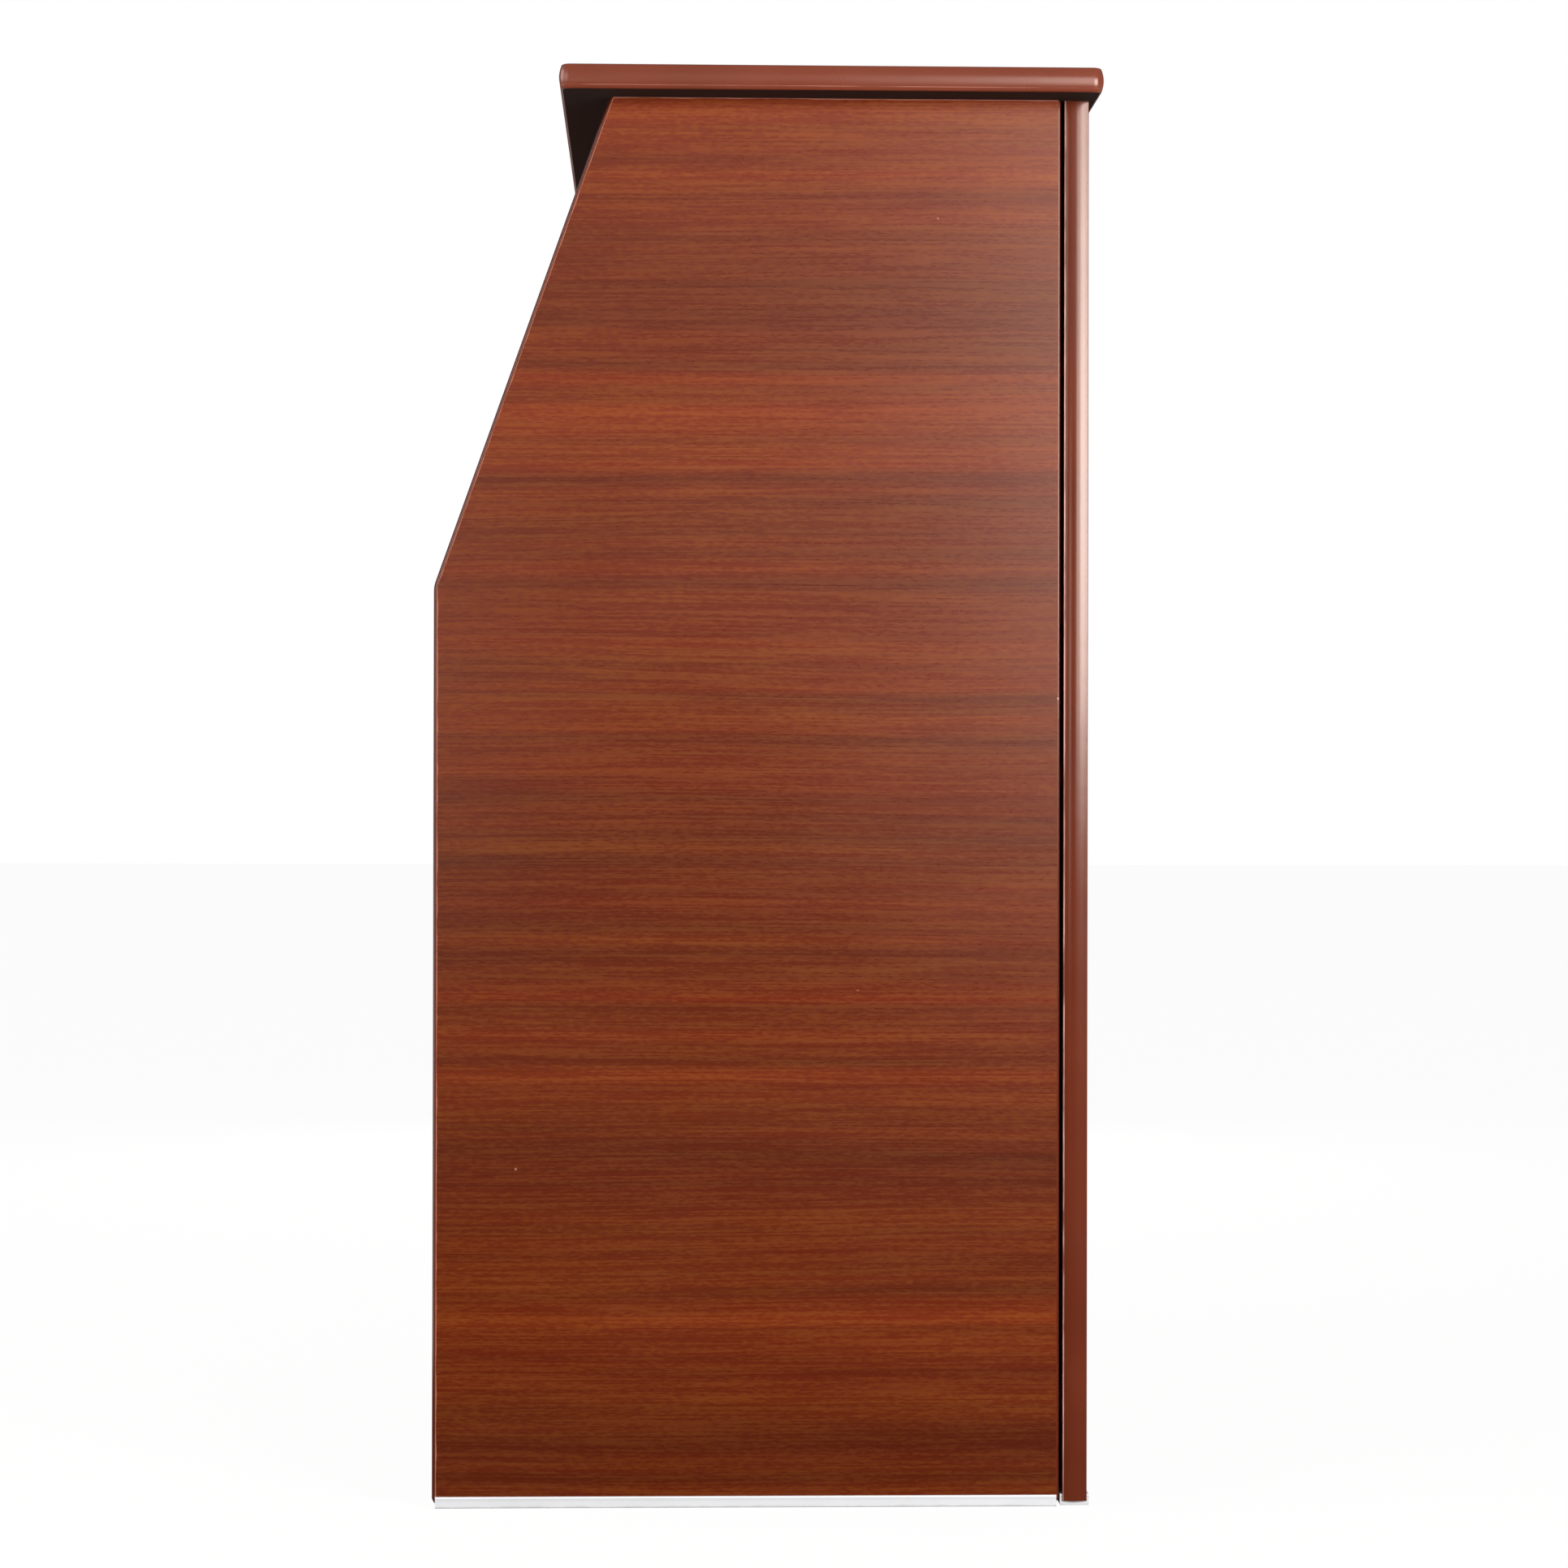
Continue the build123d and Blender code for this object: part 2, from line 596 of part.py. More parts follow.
# ---------------------------------------------------------------- lid
# The lid is drawn flat, hinge line along X, Y up the slope and Z out of the room side,
# and then leant back against its stop.
def lid_front(shape):
    """Move a front's shape to the lid's outer face."""
    return Pos(0, (hinge_edge + lid_length) / 2, BOARD) * shape


def lid_leaf_rebate():
    length = (-lid_hinge_length / 2, lid_hinge_length / 2)
    return block(length, (0, HINGE_LEAF_WIDTH), (0, HINGE_LEAF))


def lid_strikes_flat():
    """Strikes opposite the two catches under the stop rail."""
    catch_z = SIDE_HEIGHT - STOP_RAIL_HEIGHT - CATCH_HEIGHT / 2
    up = (catch_z - writing_height) / sin(slant)
    return both_sides(Pos(lid_catch_x, up, STRIKE_THICKNESS / 2) * strike_plate())


def lid_panel():
    board = lid_front(front_core(lid_width, lid_length - hinge_edge))
    board -= Pos(0, lid_pull_up, BOARD) * pull_pocket()
    board -= lid_leaf_rebate()
    for strike in lid_strikes_flat().solids():
        board -= strike
    return lid_place * board


def lid_edging():
    ring = lid_front(front_edging(lid_width, lid_length - hinge_edge))
    return lid_place * (ring - lid_leaf_rebate())


def lid_hinge_leaf():
    bore = HINGE_PIN_RADIUS + HINGE_RUNNING_FIT
    return lid_place * hinge_leaf(lid_hinge_length, LID_KNUCKLES, 1, bore, 0)


def lid_pull():
    return lid_place * (Pos(0, lid_pull_up, BOARD) * flush_pull())


def lid_strikes():
    return lid_place * lid_strikes_flat()


def lid_catches():
    """Magnetic catches under the stop rail, their faces parallel to the closed lid."""
    low = SIDE_HEIGHT - STOP_RAIL_HEIGHT - CATCH_HEIGHT
    high = SIDE_HEIGHT - STOP_RAIL_HEIGHT
    near = FRONT_INSET + BOARD + CATCH_GAP
    far = near + CATCH_DEPTH
    outline = [(slant_y(low, near), low), (slant_y(high, near), high)]
    outline += [(slant_y(high, far), high), (slant_y(low, far), low)]
    length = (lid_catch_x - CATCH_LENGTH / 2, lid_catch_x + CATCH_LENGTH / 2)
    return both_sides(profile_along_x(outline, length))


def lid_hinge_fixed_leaf():
    leaf = hinge_leaf(lid_hinge_length, LID_KNUCKLES, 0, HINGE_PIN_RADIUS, -HINGE_LEAF)
    return Pos(0, hinge_y, writing_height) * leaf


def lid_hinge_pin():
    return Pos(0, hinge_y, writing_height) * hinge_pin(lid_hinge_length)


# ---------------------------------------------------------------- lopers and their partitions
def loper():
    """Bar that carries the opened lid, with a scooped block on its front and a stop peg."""
    width = (side_inner - LOPER_PLAY - BOARD, side_inner - LOPER_PLAY)
    height = (middle_top + LOPER_LIFT, writing_underside - LOPER_LIFT)
    bar = block(width, (face + LOPER_FACE, loper_rear), height)
    scoop = Rot(0, 90, 0) * Cylinder(LOPER_SCOOP_RADIUS, 2 * BOARD)
    centre = face + LOPER_SCOOP_DEPTH - LOPER_SCOOP_RADIUS
    facing = block(width, (face, face + LOPER_FACE), height)
    facing -= Pos(loper_x, centre, (height[0] + height[1]) / 2) * scoop
    peg = Cylinder(PEG_RADIUS, PEG_SINK + PEG_HEIGHT, align=(Align.CENTER, Align.CENTER, Align.MAX))
    peg = Pos(loper_x, peg_y, height[1] + PEG_HEIGHT) * peg
    return group(facing, bar - peg, peg)


def loper_partition():
    """Upright board between a loper and the drawer, carrying the drawer's runner."""
    depth = (face + BOARD + PARTITION_FRONT_GAP, back_inner - PARTITION_END_GAP)
    return block((partition_inner, partition_inner + BOARD), depth, (middle_top, writing_underside))


# ---------------------------------------------------------------- drawer
def place_front(x, z):
    """Stand a flat front up with its face in the plane of the fronts."""
    return Pos(x, face, z) * Rot(90, 0, 0)


def on_drawer(shape):
    return place_front(0, (drawer_low + drawer_high) / 2) * shape


def drawer_front():
    board = front_core(2 * drawer_half_width, drawer_high - drawer_low)
    return on_drawer(board - pull_pocket())


def drawer_front_edging():
    return on_drawer(front_edging(2 * drawer_half_width, drawer_high - drawer_low))


def drawer_side():
    """Side board with a groove near its lower edge for the drawer bottom."""
    width = (drawer_side_inner, drawer_side_inner + THIN_BOARD)
    side = block(width, (box_front, box_rear), (drawer_side_low, drawer_side_low + DRAWER_SIDE_HEIGHT))
    groove_z = drawer_side_low + DRAWER_BOTTOM_LIFT
    groove_x = (drawer_side_inner, drawer_side_inner + DRAWER_GROOVE)
    return side - block(groove_x, (box_front, box_rear), (groove_z, groove_z + DRAWER_BOTTOM))


def drawer_back():
    height = (drawer_side_low + DRAWER_BOTTOM_LIFT + DRAWER_BOTTOM, drawer_side_low + DRAWER_SIDE_HEIGHT)
    return block((-drawer_side_inner, drawer_side_inner), (box_rear - THIN_BOARD, box_rear), height)


def drawer_bottom():
    low = drawer_side_low + DRAWER_BOTTOM_LIFT
    half = drawer_side_inner + DRAWER_GROOVE
    return block((-half, half), (box_front, box_rear), (low, low + DRAWER_BOTTOM))


def channel(width, height, open_inwards):
    """Straight steel channel lying along Y, its mouth towards the middle plane or away."""
    depth = (box_front + PARTITION_FRONT_GAP, box_rear - RUNNER_END_GAP)
    hollow = (width[0], width[1] - RUNNER_STEEL) if open_inwards else (width[0] + RUNNER_STEEL, width[1])
    inside = height / 2 - RUNNER_STEEL
    steel = block(width, depth, (runner_z - height / 2, runner_z + height / 2))
    return steel - block(hollow, depth, (runner_z - inside, runner_z + inside))


def drawer_runner_fixed():
    return channel((partition_inner - RUNNER_FLANGE, partition_inner), RUNNER_HEIGHT, True)


def drawer_runner_sliding():
    web = partition_inner - RUNNER_SPACE
    height = RUNNER_HEIGHT - 2 * (RUNNER_STEEL + RUNNER_PLAY)
    return channel((web, web + SLIDER_FLANGE), height, False)


# ---------------------------------------------------------------- cupboard doors
# The right door is drawn flat about its own middle; the left one is its mirror image.
def on_door(shape):
    return place_front((door_free + door_hinged) / 2, (door_low + door_high) / 2) * shape


def door_pull_place():
    x = DOOR_PULL_INSET - door_width / 2
    return Pos(x, door_height / 2 - DOOR_PULL_DROP) * Rot(0, 0, 90)


def door_strike_flat():
    x = STRIKE_INSET + (STRIKE_LENGTH - door_width) / 2
    y = door_height / 2 - STRIKE_DROP
    return Pos(x, y, STRIKE_THICKNESS / 2 - BOARD) * strike_plate()


def door_panel():
    board = front_core(door_width, door_height)
    return on_door(board - door_pull_place() * pull_pocket() - door_strike_flat())


def door_edging():
    return on_door(front_edging(door_width, door_height))


def door_pull():
    return on_door(door_pull_place() * flush_pull())


def door_strike():
    return on_door(door_strike_flat())


def upright_hinge(shape):
    """Stand a hinge made along X on the right door's hinge line, its leaf to the rear."""
    line = Pos(side_inner - hinge_edge, face, (door_low + door_high) / 2)
    return line * Rot(0, -90, 0) * shape


def door_hinge_leaf():
    bore = HINGE_PIN_RADIUS + HINGE_RUNNING_FIT
    lift = hinge_edge - HINGE_LEAF
    return upright_hinge(hinge_leaf(door_hinge_length, DOOR_KNUCKLES, 1, bore, lift))


def door_hinge_fixed_leaf():
    leaf = hinge_leaf(door_hinge_length, DOOR_KNUCKLES, 0, HINGE_PIN_RADIUS, -hinge_edge)
    return upright_hinge(leaf)


def door_catch():
    """Double magnetic catch under the middle board, behind the doors' meeting edges."""
    near = box_front + CATCH_GAP
    height = (middle_underside - CATCH_HEIGHT, middle_underside)
    return block((-CATCH_LENGTH, CATCH_LENGTH), (near, near + CATCH_DEPTH), height)


# ---------------------------------------------------------------- the whole desk
nodes = {
    "top_panel": top_panel(),
    "top_moulding": top_moulding(),
    "top_brackets": top_brackets(),
    "side_rear_mouldings": both_sides(side_rear_moulding()),
    "back_panel": back_panel(),
    "back_mouldings": both_sides(back_moulding()),
    "back_floor_channel": back_floor_channel(),
    "bottom_panel": edged_board(BOTTOM_PANEL_Z),
    "middle_board": edged_board(middle_underside),
    "shelf_mouldings": shelf_mouldings(),
    "plinth_board": plinth_board(),
    "writing_board": writing_board(),
    "adjustable_shelf": adjustable_shelf(),
    "shelf_pins": shelf_pins(),
    "rack_shelf": rack_shelf(),
    "lower_rack_dividers": lower_dividers(),
    "upper_rack_dividers": upper_dividers(),
    "lid_stop_rail": lid_stop_rail(),
    "lid_catches": lid_catches(),
    "lid_hinge_fixed_leaf": lid_hinge_fixed_leaf(),
    "lid_hinge_pin": lid_hinge_pin(),
    "loper_partitions": both_sides(loper_partition()),
    "drawer_runners_fixed": both_sides(drawer_runner_fixed()),
    "door_hinge_pins": both_sides(upright_hinge(hinge_pin(door_hinge_length))),
    "door_catch": door_catch(),
    "lid_panel": lid_panel(),
    "lid_edging": lid_edging(),
    "lid_hinge_leaf": lid_hinge_leaf(),
    "lid_pull": lid_pull(),
    "lid_strikes": lid_strikes(),
    "drawer_front": drawer_front(),
    "drawer_front_edging": drawer_front_edging(),
    "drawer_pull": on_drawer(flush_pull()),
    "drawer_sides": both_sides(drawer_side()),
    "drawer_back": drawer_back(),
    "drawer_bottom": drawer_bottom(),
    "drawer_runners_sliding": both_sides(drawer_runner_sliding()),
}

handed = {
    "side_panel": side_panel(),
    "side_front_moulding": side_front_moulding(),
    "side_floor_channel": side_floor_channel(),
    "loper": loper(),
    "door_panel": door_panel(),
    "door_edging": door_edging(),
    "door_pull": door_pull(),
    "door_strike": door_strike(),
    "door_hinge_leaf": door_hinge_leaf(),
    "door_hinge_fixed_leaf": door_hinge_fixed_leaf(),
}
for name, shape in handed.items():
    nodes[f"{name}_right"] = shape
    nodes[f"{name}_left"] = other_side(shape)

for name, shape in nodes.items():
    export_step(shape, f"parts/{name}.step")
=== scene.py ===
import json
from math import asin, atan2, cos, pi, radians, sin, tan

import bmesh
import bpy
from mathutils import Matrix, Vector


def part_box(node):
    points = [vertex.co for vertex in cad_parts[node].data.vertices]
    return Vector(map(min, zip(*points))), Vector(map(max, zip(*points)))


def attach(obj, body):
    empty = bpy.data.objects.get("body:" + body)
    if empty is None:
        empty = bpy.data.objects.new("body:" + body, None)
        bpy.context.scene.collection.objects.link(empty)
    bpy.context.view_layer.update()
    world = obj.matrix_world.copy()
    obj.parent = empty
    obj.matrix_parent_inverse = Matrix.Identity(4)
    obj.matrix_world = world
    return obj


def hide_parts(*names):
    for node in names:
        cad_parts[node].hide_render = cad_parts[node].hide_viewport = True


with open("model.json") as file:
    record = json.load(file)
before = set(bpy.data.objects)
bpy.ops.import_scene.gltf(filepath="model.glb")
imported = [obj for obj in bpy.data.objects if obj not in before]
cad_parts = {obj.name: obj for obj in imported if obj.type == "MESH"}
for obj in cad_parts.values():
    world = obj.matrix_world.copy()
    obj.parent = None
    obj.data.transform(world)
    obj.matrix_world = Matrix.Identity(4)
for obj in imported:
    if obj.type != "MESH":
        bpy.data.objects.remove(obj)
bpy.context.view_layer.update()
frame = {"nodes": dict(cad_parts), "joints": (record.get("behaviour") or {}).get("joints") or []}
nodes = frame["nodes"]

# ---------------------------------------------------------------- laminated boards
# The sides, the back, the top, the plinth and the fronts are chipboard with a printed
# mahogany laminate pressed on both faces. The sheet is laid with its figure level all
# round the desk. Only edges that no moulding covers show the chipboard.
X, Y, Z = (1, 0, 0), (0, 1, 0), (0, 0, 1)


def add(tree, kind, inputs=None, **settings):
    """A new node with its settings; each input gets a value or another node's output."""
    made = tree.nodes.new(kind)
    for setting, value in settings.items():
        setattr(made, setting, value)
    for socket, value in (inputs or {}).items():
        if isinstance(value, bpy.types.NodeSocket):
            tree.links.new(value, made.inputs[socket])
        else:
            made.inputs[socket].default_value = value
    return made


def arithmetic(tree, operation, *terms):
    return add(tree, "ShaderNodeMath", dict(enumerate(terms)), operation=operation).outputs[0]


def product(tree, first, second):
    return arithmetic(tree, "MULTIPLY", first, second)


def sloped(tree, amount, slope, start):
    """The amount times slope, plus start."""
    return arithmetic(tree, "MULTIPLY_ADD", amount, slope, start)


def vector_step(tree, operation, *terms):
    made = add(tree, "ShaderNodeVectorMath", dict(enumerate(terms)), operation=operation)
    return made.outputs[0]


def reach_along(tree, place, direction):
    """How far a place lies along a direction."""
    made = add(tree, "ShaderNodeVectorMath", {0: place, 1: direction}, operation="DOT_PRODUCT")
    return made.outputs["Value"]


def axes(tree, vector):
    return add(tree, "ShaderNodeSeparateXYZ", {0: vector}).outputs


def object_place(tree):
    return add(tree, "ShaderNodeTexCoord").outputs["Object"]


# Sockets of the mix node for colours.
MIX_AMOUNT, MIX_FIRST, MIX_SECOND, MIXED = 0, 6, 7, 2


def blended(tree, amount, first, second, blend="MIX"):
    """Colour that goes from first to second with amount."""
    inputs = {MIX_AMOUNT: amount, MIX_FIRST: first, MIX_SECOND: second}
    mix = add(tree, "ShaderNodeMix", inputs, data_type="RGBA", blend_type=blend)
    return mix.outputs[MIXED]


def ramp(tree, amount, *stops):
    """Colours or greys against amount, each stop a place and a value."""
    made = add(tree, "ShaderNodeValToRGB", {0: amount})
    elements = made.color_ramp.elements
    while len(elements) < len(stops):
        elements.new(0.5)
    for element, (place, value) in zip(elements, stops):
        element.position = place
        element.color = value if isinstance(value, tuple) else (value, value, value, 1)
    return made.outputs[0]


def noise(tree, place, scale=1.0, detail=2.0, roughness=0.5):
    inputs = {"Vector": place, "Scale": scale, "Detail": detail, "Roughness": roughness}
    return add(tree, "ShaderNodeTexNoise", inputs).outputs["Fac"]


def stretched(tree, place, along, across, through):
    """Place with each axis scaled by its own count per metre."""
    return vector_step(tree, "MULTIPLY", place, (along, across, through))


def shader_group(name, inputs, outputs):
    """An empty node group and its input and output ends; inputs are name: (kind, value)."""
    tree = bpy.data.node_groups.new(name, "ShaderNodeTree")
    for title, (kind, value) in inputs.items():
        socket = tree.interface.new_socket(title, in_out="INPUT", socket_type=kind)
        if value is not None:
            socket.default_value = value
    for title, kind in outputs.items():
        tree.interface.new_socket(title, in_out="OUTPUT", socket_type=kind)
    return tree, tree.nodes.new("NodeGroupInput").outputs, tree.nodes.new("NodeGroupOutput").inputs


VECTOR, COLOUR, AMOUNT = "NodeSocketVector", "NodeSocketColor", "NodeSocketFloat"

wood_figure, given, result = shader_group(
    "wood figure",
    {
        "Place": (VECTOR, None),
        "Dark": (COLOUR, (0.062, 0.0106, 0.0004, 1)),
        "Middle": (COLOUR, (0.150, 0.0196, 0.0008, 1)),
        "Light": (COLOUR, (0.250, 0.0390, 0.0026, 1)),
        "Warm": (COLOUR, (0.98, 1.25, 1.15, 1)),
        "Shade": (AMOUNT, 1.0),
        "Bands": (AMOUNT, 1.0),
        "Pores": (AMOUNT, 0.03),
    },
    {"Color": COLOUR, "Roughness": AMOUNT, "Height": AMOUNT},
)
# Counts per metre along and across the grain, share and detail of each layer.
GROWTH_FIGURE = (0.5, 16.0, 0.50, 0.0)
STREAK_FIGURE = ((0.8, 50.0, 0.26, 0.0), (1.3, 100.0, 0.28, 0.0))
FINE_FIGURE = (
    (4.0, 200.0, 0.26, 0.0), (8.0, 420.0, 0.34, 0.0), (13.0, 850.0, 0.50, 0.0),
    (170.0, 650.0, 0.60, 1.0),
)
GRAIN_SWAY = 0.016
LINE_GAIN = 10.0
LINE_TINT = (0.15, 0.42, 0.42)
PALE_LINE_EXTRA = 0.3
SHEEN_ROUGHNESS = 0.28
LINE_ROUGHNESS = 0.10


def fill_wood_figure(tree):
    """Growth bands, streaks, fine lines and pores that all run along the place's X."""
    place = given["Place"]
    drift = noise(tree, stretched(tree, place, 1.6, 5.0, 5.0), detail=1.0)
    drift = sloped(tree, drift, GRAIN_SWAY, -GRAIN_SWAY / 2)
    sway = add(tree, "ShaderNodeCombineXYZ", {"Y": drift}).outputs[0]
    place = vector_step(tree, "ADD", place, sway)

    def layered(start, along, across, share, detail):
        layer = noise(tree, stretched(tree, place, along, across, across), detail=detail)
        return sloped(tree, arithmetic(tree, "SUBTRACT", layer, 0.5), share, start)

    tone = sloped(tree, layered(0.0, *GROWTH_FIGURE), given["Bands"], 0.5)
    for layer in STREAK_FIGURE:
        tone = layered(tone, *layer)
    past_dark = ramp(tree, tone, (0.15, 0.0), (0.5, 1.0))
    past_middle = ramp(tree, tone, (0.5, 0.0), (0.85, 1.0))
    colour = blended(tree, past_dark, given["Dark"], given["Middle"])
    colour = blended(tree, past_middle, colour, given["Light"])
    fine = 0.0
    for layer in FINE_FIGURE:
        fine = layered(fine, *layer)
    even = arithmetic(tree, "TANH", product(tree, fine, LINE_GAIN))
    even = sloped(tree, product(tree, even, even), PALE_LINE_EXTRA, even)
    tint = vector_step(tree, "MULTIPLY_ADD", even, LINE_TINT, (1, 1, 1))
    colour = vector_step(tree, "MULTIPLY", colour, tint)
    warmth = noise(tree, stretched(tree, place, 2.0, 48.0, 90.0))
    warm = ramp(tree, warmth, (0.42, 0.0), (0.68, 0.6))
    colour = blended(tree, warm, colour, given["Warm"], "MULTIPLY")
    pores = noise(tree, stretched(tree, place, 45.0, 1500.0, 1500.0), detail=1.0)
    pore = product(tree, ramp(tree, pores, (0.56, 0.0), (0.66, 1.0)), given["Pores"])
    colour = blended(tree, pore, colour, given["Dark"])
    tree.links.new(vector_step(tree, "MULTIPLY", colour, given["Shade"]), result["Color"])
    tree.links.new(sloped(tree, fine, LINE_ROUGHNESS, SHEEN_ROUGHNESS), result["Roughness"])
    tree.links.new(arithmetic(tree, "SUBTRACT", fine, pore), result["Height"])


fill_wood_figure(wood_figure)

handling_wear, given, result = shader_group(
    "handling wear",
    {"Place": (VECTOR, None), "Scale": (AMOUNT, 30.0), "Amount": (AMOUNT, 0.5)},
    {"Haze": AMOUNT, "Specks": AMOUNT},
)


def fill_handling_wear(tree):
    """Broad greasy haze from wiping, and a few small specks of dust."""
    place = given["Place"]
    haze = ramp(tree, noise(tree, place, scale=6.0, detail=3.0), (0.4, 0.0), (0.75, 1.0))
    cells = add(tree, "ShaderNodeTexVoronoi", {"Vector": place, "Scale": given["Scale"]})
    near = ramp(tree, cells.outputs["Distance"], (0.012, 1.0), (0.03, 0.0))
    chance = ramp(tree, cells.outputs["Color"], (0.6, 0.0), (0.7, 1.0))
    tree.links.new(product(tree, haze, given["Amount"]), result["Haze"])
    tree.links.new(product(tree, near, chance), result["Specks"])


fill_handling_wear(handling_wear)


def new_material(name):
    material = bpy.data.materials.new(name)
    material.use_nodes = True
    tree = material.node_tree
    return material, tree, tree.nodes["Principled BSDF"]


def plug(tree, shader, **values):
    """Feed the shader's sockets, named in lower case with underscores for spaces."""
    for title, value in values.items():
        socket = shader.inputs[title.replace("_", " ").title().replace("Ior", "IOR")]
        if isinstance(value, bpy.types.NodeSocket):
            tree.links.new(value, socket)
        else:
            socket.default_value = value


def bump(tree, height, strength, distance):
    inputs = {"Height": height, "Strength": strength, "Distance": distance}
    return add(tree, "ShaderNodeBump", inputs).outputs[0]


def group_node(tree, group, **inputs):
    return add(tree, "ShaderNodeGroup", inputs, node_tree=group).outputs


def turned_to(tree, along, across):
    """Object coordinates with the grain's direction as X and the one across it as Y."""
    place = object_place(tree)
    through = Vector(along).cross(Vector(across))
    parts = {}
    for axis, direction in zip("XYZ", (along, across, through)):
        parts[axis] = reach_along(tree, place, direction)
    return add(tree, "ShaderNodeCombineXYZ", parts).outputs[0]


# The lid lies along the slant of the sides, which begins at their knee.
hinge = next(joint for joint in frame["joints"] if joint["name"] == "lid_hinge")
lid_lean = pi - radians(hinge["range_deg"][1])
lid_up = (0, cos(lid_lean), sin(lid_lean))
lid_out = (0, -sin(lid_lean), cos(lid_lean))
side_low, side_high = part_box("side_panel_right")
SIDE_TOP, SIDE_FRONT, SIDE_KNEE = side_high.z, side_low.y, 0.713
# Tone and width of a painted highlight along a side's top, slant and front edges.
EDGE_HIGHLIGHT_TONE, EDGE_HIGHLIGHT_SPREAD, EDGE_HIGHLIGHT_START = (0.36, 0.13, 0.09, 1), 0.0018, -0.0002


def painted_edge_highlight(tree, laid):
    """Where a pale painted highlight lies along a side's top, its slant and its front."""
    part = axes(tree, laid)
    top = arithmetic(tree, "SUBTRACT", SIDE_TOP, part["Y"])
    front = arithmetic(tree, "SUBTRACT", part["X"], SIDE_FRONT)
    slant = reach_along(tree, laid, (sin(lid_lean), -cos(lid_lean), 0))
    slant_at_knee = SIDE_FRONT * sin(lid_lean) - SIDE_KNEE * cos(lid_lean)
    slant = arithmetic(tree, "SUBTRACT", slant, slant_at_knee)
    near = arithmetic(tree, "MINIMUM", arithmetic(tree, "MINIMUM", front, slant), top)
    wander = noise(tree, stretched(tree, laid, 60.0, 60.0, 60.0))
    width = sloped(tree, wander, EDGE_HIGHLIGHT_SPREAD, EDGE_HIGHLIGHT_START)
    return arithmetic(tree, "LESS_THAN", near, width)


# Heights of the sheet's growth bands on the sides, and how light each is. The tones also hold
# painted light: darker overall towards the bottom, and lighter just under the top's overhang.
BANDS_AND_PAINTED_LIGHT = (
    (0.004, 0.80), (0.034, 0.68), (0.054, 0.56), (0.073, 0.77), (0.105, 0.79), (0.142, 0.94),
    (0.211, 0.88), (0.245, 0.77), (0.268, 0.76), (0.293, 0.72), (0.311, 0.87), (0.351, 1.03),
    (0.378, 0.78), (0.394, 1.03), (0.412, 0.71), (0.436, 0.83), (0.469, 0.80), (0.499, 0.71),
    (0.588, 0.93), (0.617, 1.03), (0.635, 1.08), (0.689, 0.87), (0.721, 0.89), (0.765, 0.98),
    (0.793, 0.94), (0.829, 1.18), (0.884, 1.13), (0.922, 0.84), (0.972, 0.79), (1.000, 1.01),
    (1.060, 1.06), (1.087, 1.32),
)
BOARD_REACH = 1.12
BRIGHTEST = 1.6
BAND_SWAY = 0.008


def banded_painted_shade(tree, laid):
    """The shade of the growth bands with painted light in it, darker towards the bottom and
    lighter just under the top; the bands sway a little along the sheet.
    """
    sway = noise(tree, stretched(tree, laid, 2.0, 6.0, 6.0), detail=1.0)
    sway = sloped(tree, sway, BAND_SWAY, -BAND_SWAY / 2)
    height = arithmetic(tree, "ADD", axes(tree, laid)["Y"], sway)
    height = arithmetic(tree, "DIVIDE", height, BOARD_REACH)
    stops = [(z / BOARD_REACH, tone / BRIGHTEST) for z, tone in BANDS_AND_PAINTED_LIGHT]
    return product(tree, ramp(tree, height, *stops), BRIGHTEST)


CHIPBOARD = (0.36, 0.24, 0.13, 1)
BACKER = (0.030, 0.010, 0.005, 1)
BACKER_ROUGHNESS = 0.95
SHEET_SPECK = (0.42, 0.20, 0.13, 1)
WARM_GLOSS = (1.0, 0.89, 0.83, 1)
FACE_TILT = 0.6


def laminate(name, along, across, facing, shift, side_bands_and_painted_light=False, backed=False):
    """Printed laminate on the faces that look along facing, chipboard on bare edges."""
    material, tree, shader = new_material(name)
    laid = turned_to(tree, along, across)
    place = vector_step(tree, "ADD", laid, shift)
    # On the sides the shade is the grain's bands with painted light in them.
    shade, bands = (banded_painted_shade(tree, laid), 0.5) if side_bands_and_painted_light else (1.0, 0.7)
    wood = group_node(tree, wood_figure, Place=place, Shade=shade, Bands=bands)
    wear = group_node(tree, handling_wear, Place=place, Scale=22.0, Amount=0.5)
    colour = blended(tree, wear["Specks"], wood["Color"], SHEET_SPECK)
    if side_bands_and_painted_light:
        # A painted highlight: a pale line along the side's top, slant and front edges.
        colour = blended(tree, painted_edge_highlight(tree, laid), colour, EDGE_HIGHLIGHT_TONE)
    chips = ramp(tree, noise(tree, place, scale=420.0, detail=3.0), (0.35, 0.45), (0.65, 1.0))
    core = blended(tree, 1.0, chips, CHIPBOARD, "MULTIPLY")
    normal = add(tree, "ShaderNodeTexCoord").outputs["Normal"]
    tilt = arithmetic(tree, "ABSOLUTE", reach_along(tree, normal, facing))
    covered = arithmetic(tree, "GREATER_THAN", tilt, FACE_TILT)
    roughness = sloped(tree, wear["Haze"], 0.06, wood["Roughness"])
    if backed:
        under = arithmetic(tree, "LESS_THAN", axes(tree, normal)["Z"], -FACE_TILT)
        colour = blended(tree, under, colour, BACKER)
        dulled = product(tree, under, BACKER_ROUGHNESS)
        roughness = arithmetic(tree, "MAXIMUM", roughness, dulled)
    height = sloped(tree, noise(tree, place, scale=90.0), 0.4, wood["Height"])
    plug(tree, shader, base_color=blended(tree, covered, core, colour), roughness=roughness)
    plug(tree, shader, specular_ior_level=0.5, specular_tint=WARM_GLOSS)
    plug(tree, shader, normal=bump(tree, height, strength=0.12, distance=0.0002))
    return material


def finish_nodes(material, *names):
    """Give CAD nodes one material."""
    for name in names:
        slots = nodes[name].data.materials
        slots.clear()
        slots.append(material)


